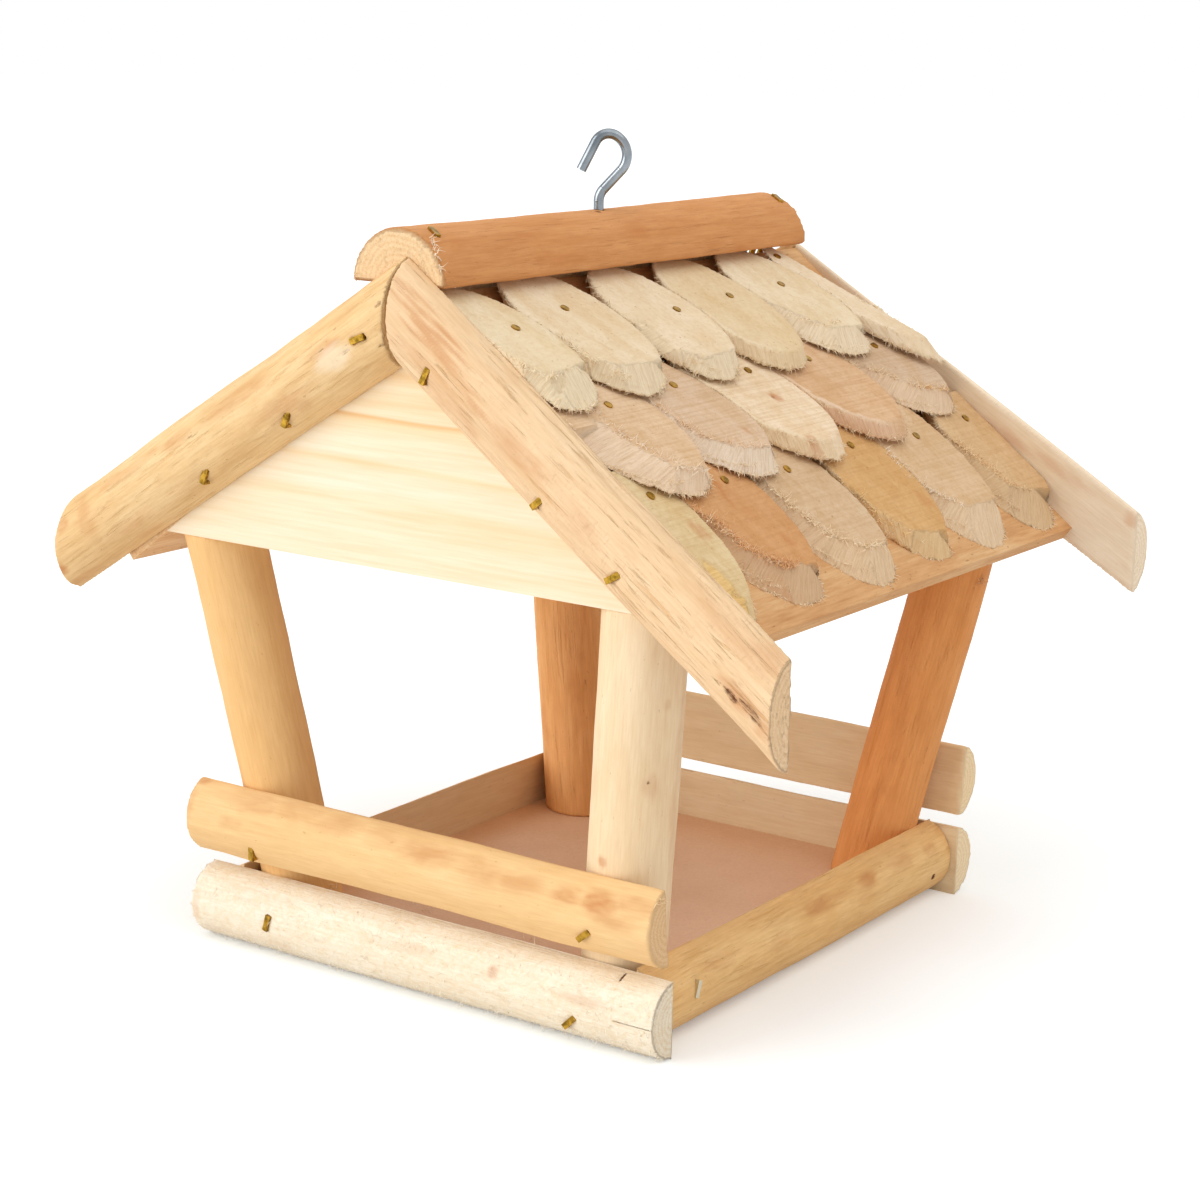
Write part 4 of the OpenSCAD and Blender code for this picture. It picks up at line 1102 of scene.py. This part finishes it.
for line, count, length, spread, color in TEARS:
    knots = np.array(line, float)
    for _ in range(count):
        at = rng.random() * (len(knots) - 1)
        k = min(int(at), len(knots) - 2)
        pixel = knots[k] + (knots[k + 1] - knots[k]) * (at - k) + spread * 0.5 * rng.standard_normal(2)
        owner, root, normal = hit(*pixel)
        if owner is None:
            continue
        aim = loose_aim(normal, 0.6, 0.75, 0.1, 0.3)
        shade = 0.9 + 0.1 * rng.random()
        size = length * (0.35 + 0.8 * rng.random()) * MM
        tears.append((root, aim, size, TEAR_RADIUS, np.array(rgb(*color)) * shade))
strands("torn_fibres", tears, 12, 0.9)

# The front lower rail is covered with short pale curls. Their roots are looked for from a round
# line, LOOK_FAR from LOOK_Y and AXIS_Z, towards AXIS_Y and AXIS_Z inside the rail.
FLUFF_TRIES = 1100
AXIS_Y, AXIS_Z = -0.105, 0.0085
LOOK_Y, LOOK_FAR = -0.109, 0.06
FLUFF_RADIUS = 0.15 * MM
FLUFF_COLOR = np.array(rgb(255, 250, 238))
fluff = []
rail_xs = [v.co.x for v in nodes["front_lower_rail"].data.vertices]
low_x, high_x = min(rail_xs), max(rail_xs)
for _ in range(FLUFF_TRIES):
    x = low_x + (high_x - low_x) * rng.random()
    angle = math.radians(15 + 150 * rng.random() ** 0.8)
    eye = Vector((x, LOOK_Y - LOOK_FAR * math.sin(angle), AXIS_Z + LOOK_FAR * math.cos(angle)))
    spot, normal, face, _ = TREE.ray_cast(eye, Vector((x, AXIS_Y, AXIS_Z)) - eye)
    if spot is None or OWNERS[face] != "front_lower_rail":
        continue
    aim = loose_aim(np.array(normal), 0.3, 0.9, 0.05, 0.2)
    size = (0.8 + 1.6 * rng.random()) * MM
    fluff.append((np.array(spot), aim, size, FLUFF_RADIUS, FLUFF_COLOR * (0.9 + 0.1 * rng.random())))
strands("rail_fluff", fluff, 13, 0.8)


# The nodes whose form is right as it is
PLAIN_NODES = [
    (PINE, ["front_gable_board", "back_gable_board"]),
    (ROOF, ["right_roof_panel"]),
    (PALE_ROOF, ["left_roof_panel"]),
    (FLOOR, ["floor_panel"]),
    (BRASS, ["rail_staples", "roof_staples", "shingle_nails"]),
    (ZINC, ["panel_nails", "frame_screws", "hanging_hook"]),
]
for material, names in PLAIN_NODES:
    for node in names:
        nodes[node].data.materials.clear()
        nodes[node].data.materials.append(material)
for polygon in nodes["hanging_hook"].data.polygons:
    polygon.use_smooth = True


# Stage: a white floor that keeps the shadow, and an even fill from a white world
FLOOR_REACH = 6
FLOOR_SEEN, FLOOR_GLOW, FLOOR_LIT = (0.92, 0.97, 1.00), 0.20, (0.82, 0.81, 0.80)
FILL_COLOR, FILL = (1.0, 0.97, 0.93), 0.62


floor_mesh = bpy.data.meshes.new("stage_floor")
corners = [(x * FLOOR_REACH, y * FLOOR_REACH, 0) for x, y in ((-1, -1), (1, -1), (1, 1), (-1, 1))]
floor_mesh.from_pydata(corners, [], [(0, 1, 2, 3)])
floor_mesh.materials.append(bpy.data.materials.new("stage_floor"))
tree = Tree(floor_mesh.materials[0])
both = tree.new("AddShader")
tree.link(tree.lit("BsdfDiffuse", FLOOR_SEEN), both.inputs[0])
tree.link(tree.lit("Emission", WHITE, FLOOR_GLOW), both.inputs[1])
tree.show("OutputMaterial", tree.lit("BsdfDiffuse", FLOOR_LIT), both.outputs[0])
added("stage_floor", floor_mesh)

scene.world = bpy.data.worlds.new("studio")
tree = Tree(scene.world)
tree.show("OutputWorld", tree.lit("Background", FILL_COLOR, FILL), tree.lit("Background", WHITE, 1.0))


def sun(name, energy, angle, color, toward):
    """A soft lamp that shines from the given direction."""
    lamp = added(name, bpy.data.lights.new(name, "SUN"))
    lamp.data.energy = energy
    lamp.data.angle = math.radians(angle)
    lamp.data.color = color
    lamp.rotation_mode = "QUATERNION"
    lamp.rotation_quaternion = Vector(toward).to_track_quat("Z", "Y")


# A soft key from the front left and a softer lamp from above
sun("key", 1.52, 46, (1.0, 0.99, 0.97), (-0.52, -0.80, 0.31))
sun("top", 1.04, 76, (1.0, 1.0, 1.0), (0.25, -0.10, 0.96))

scene.view_settings.view_transform = "Standard"
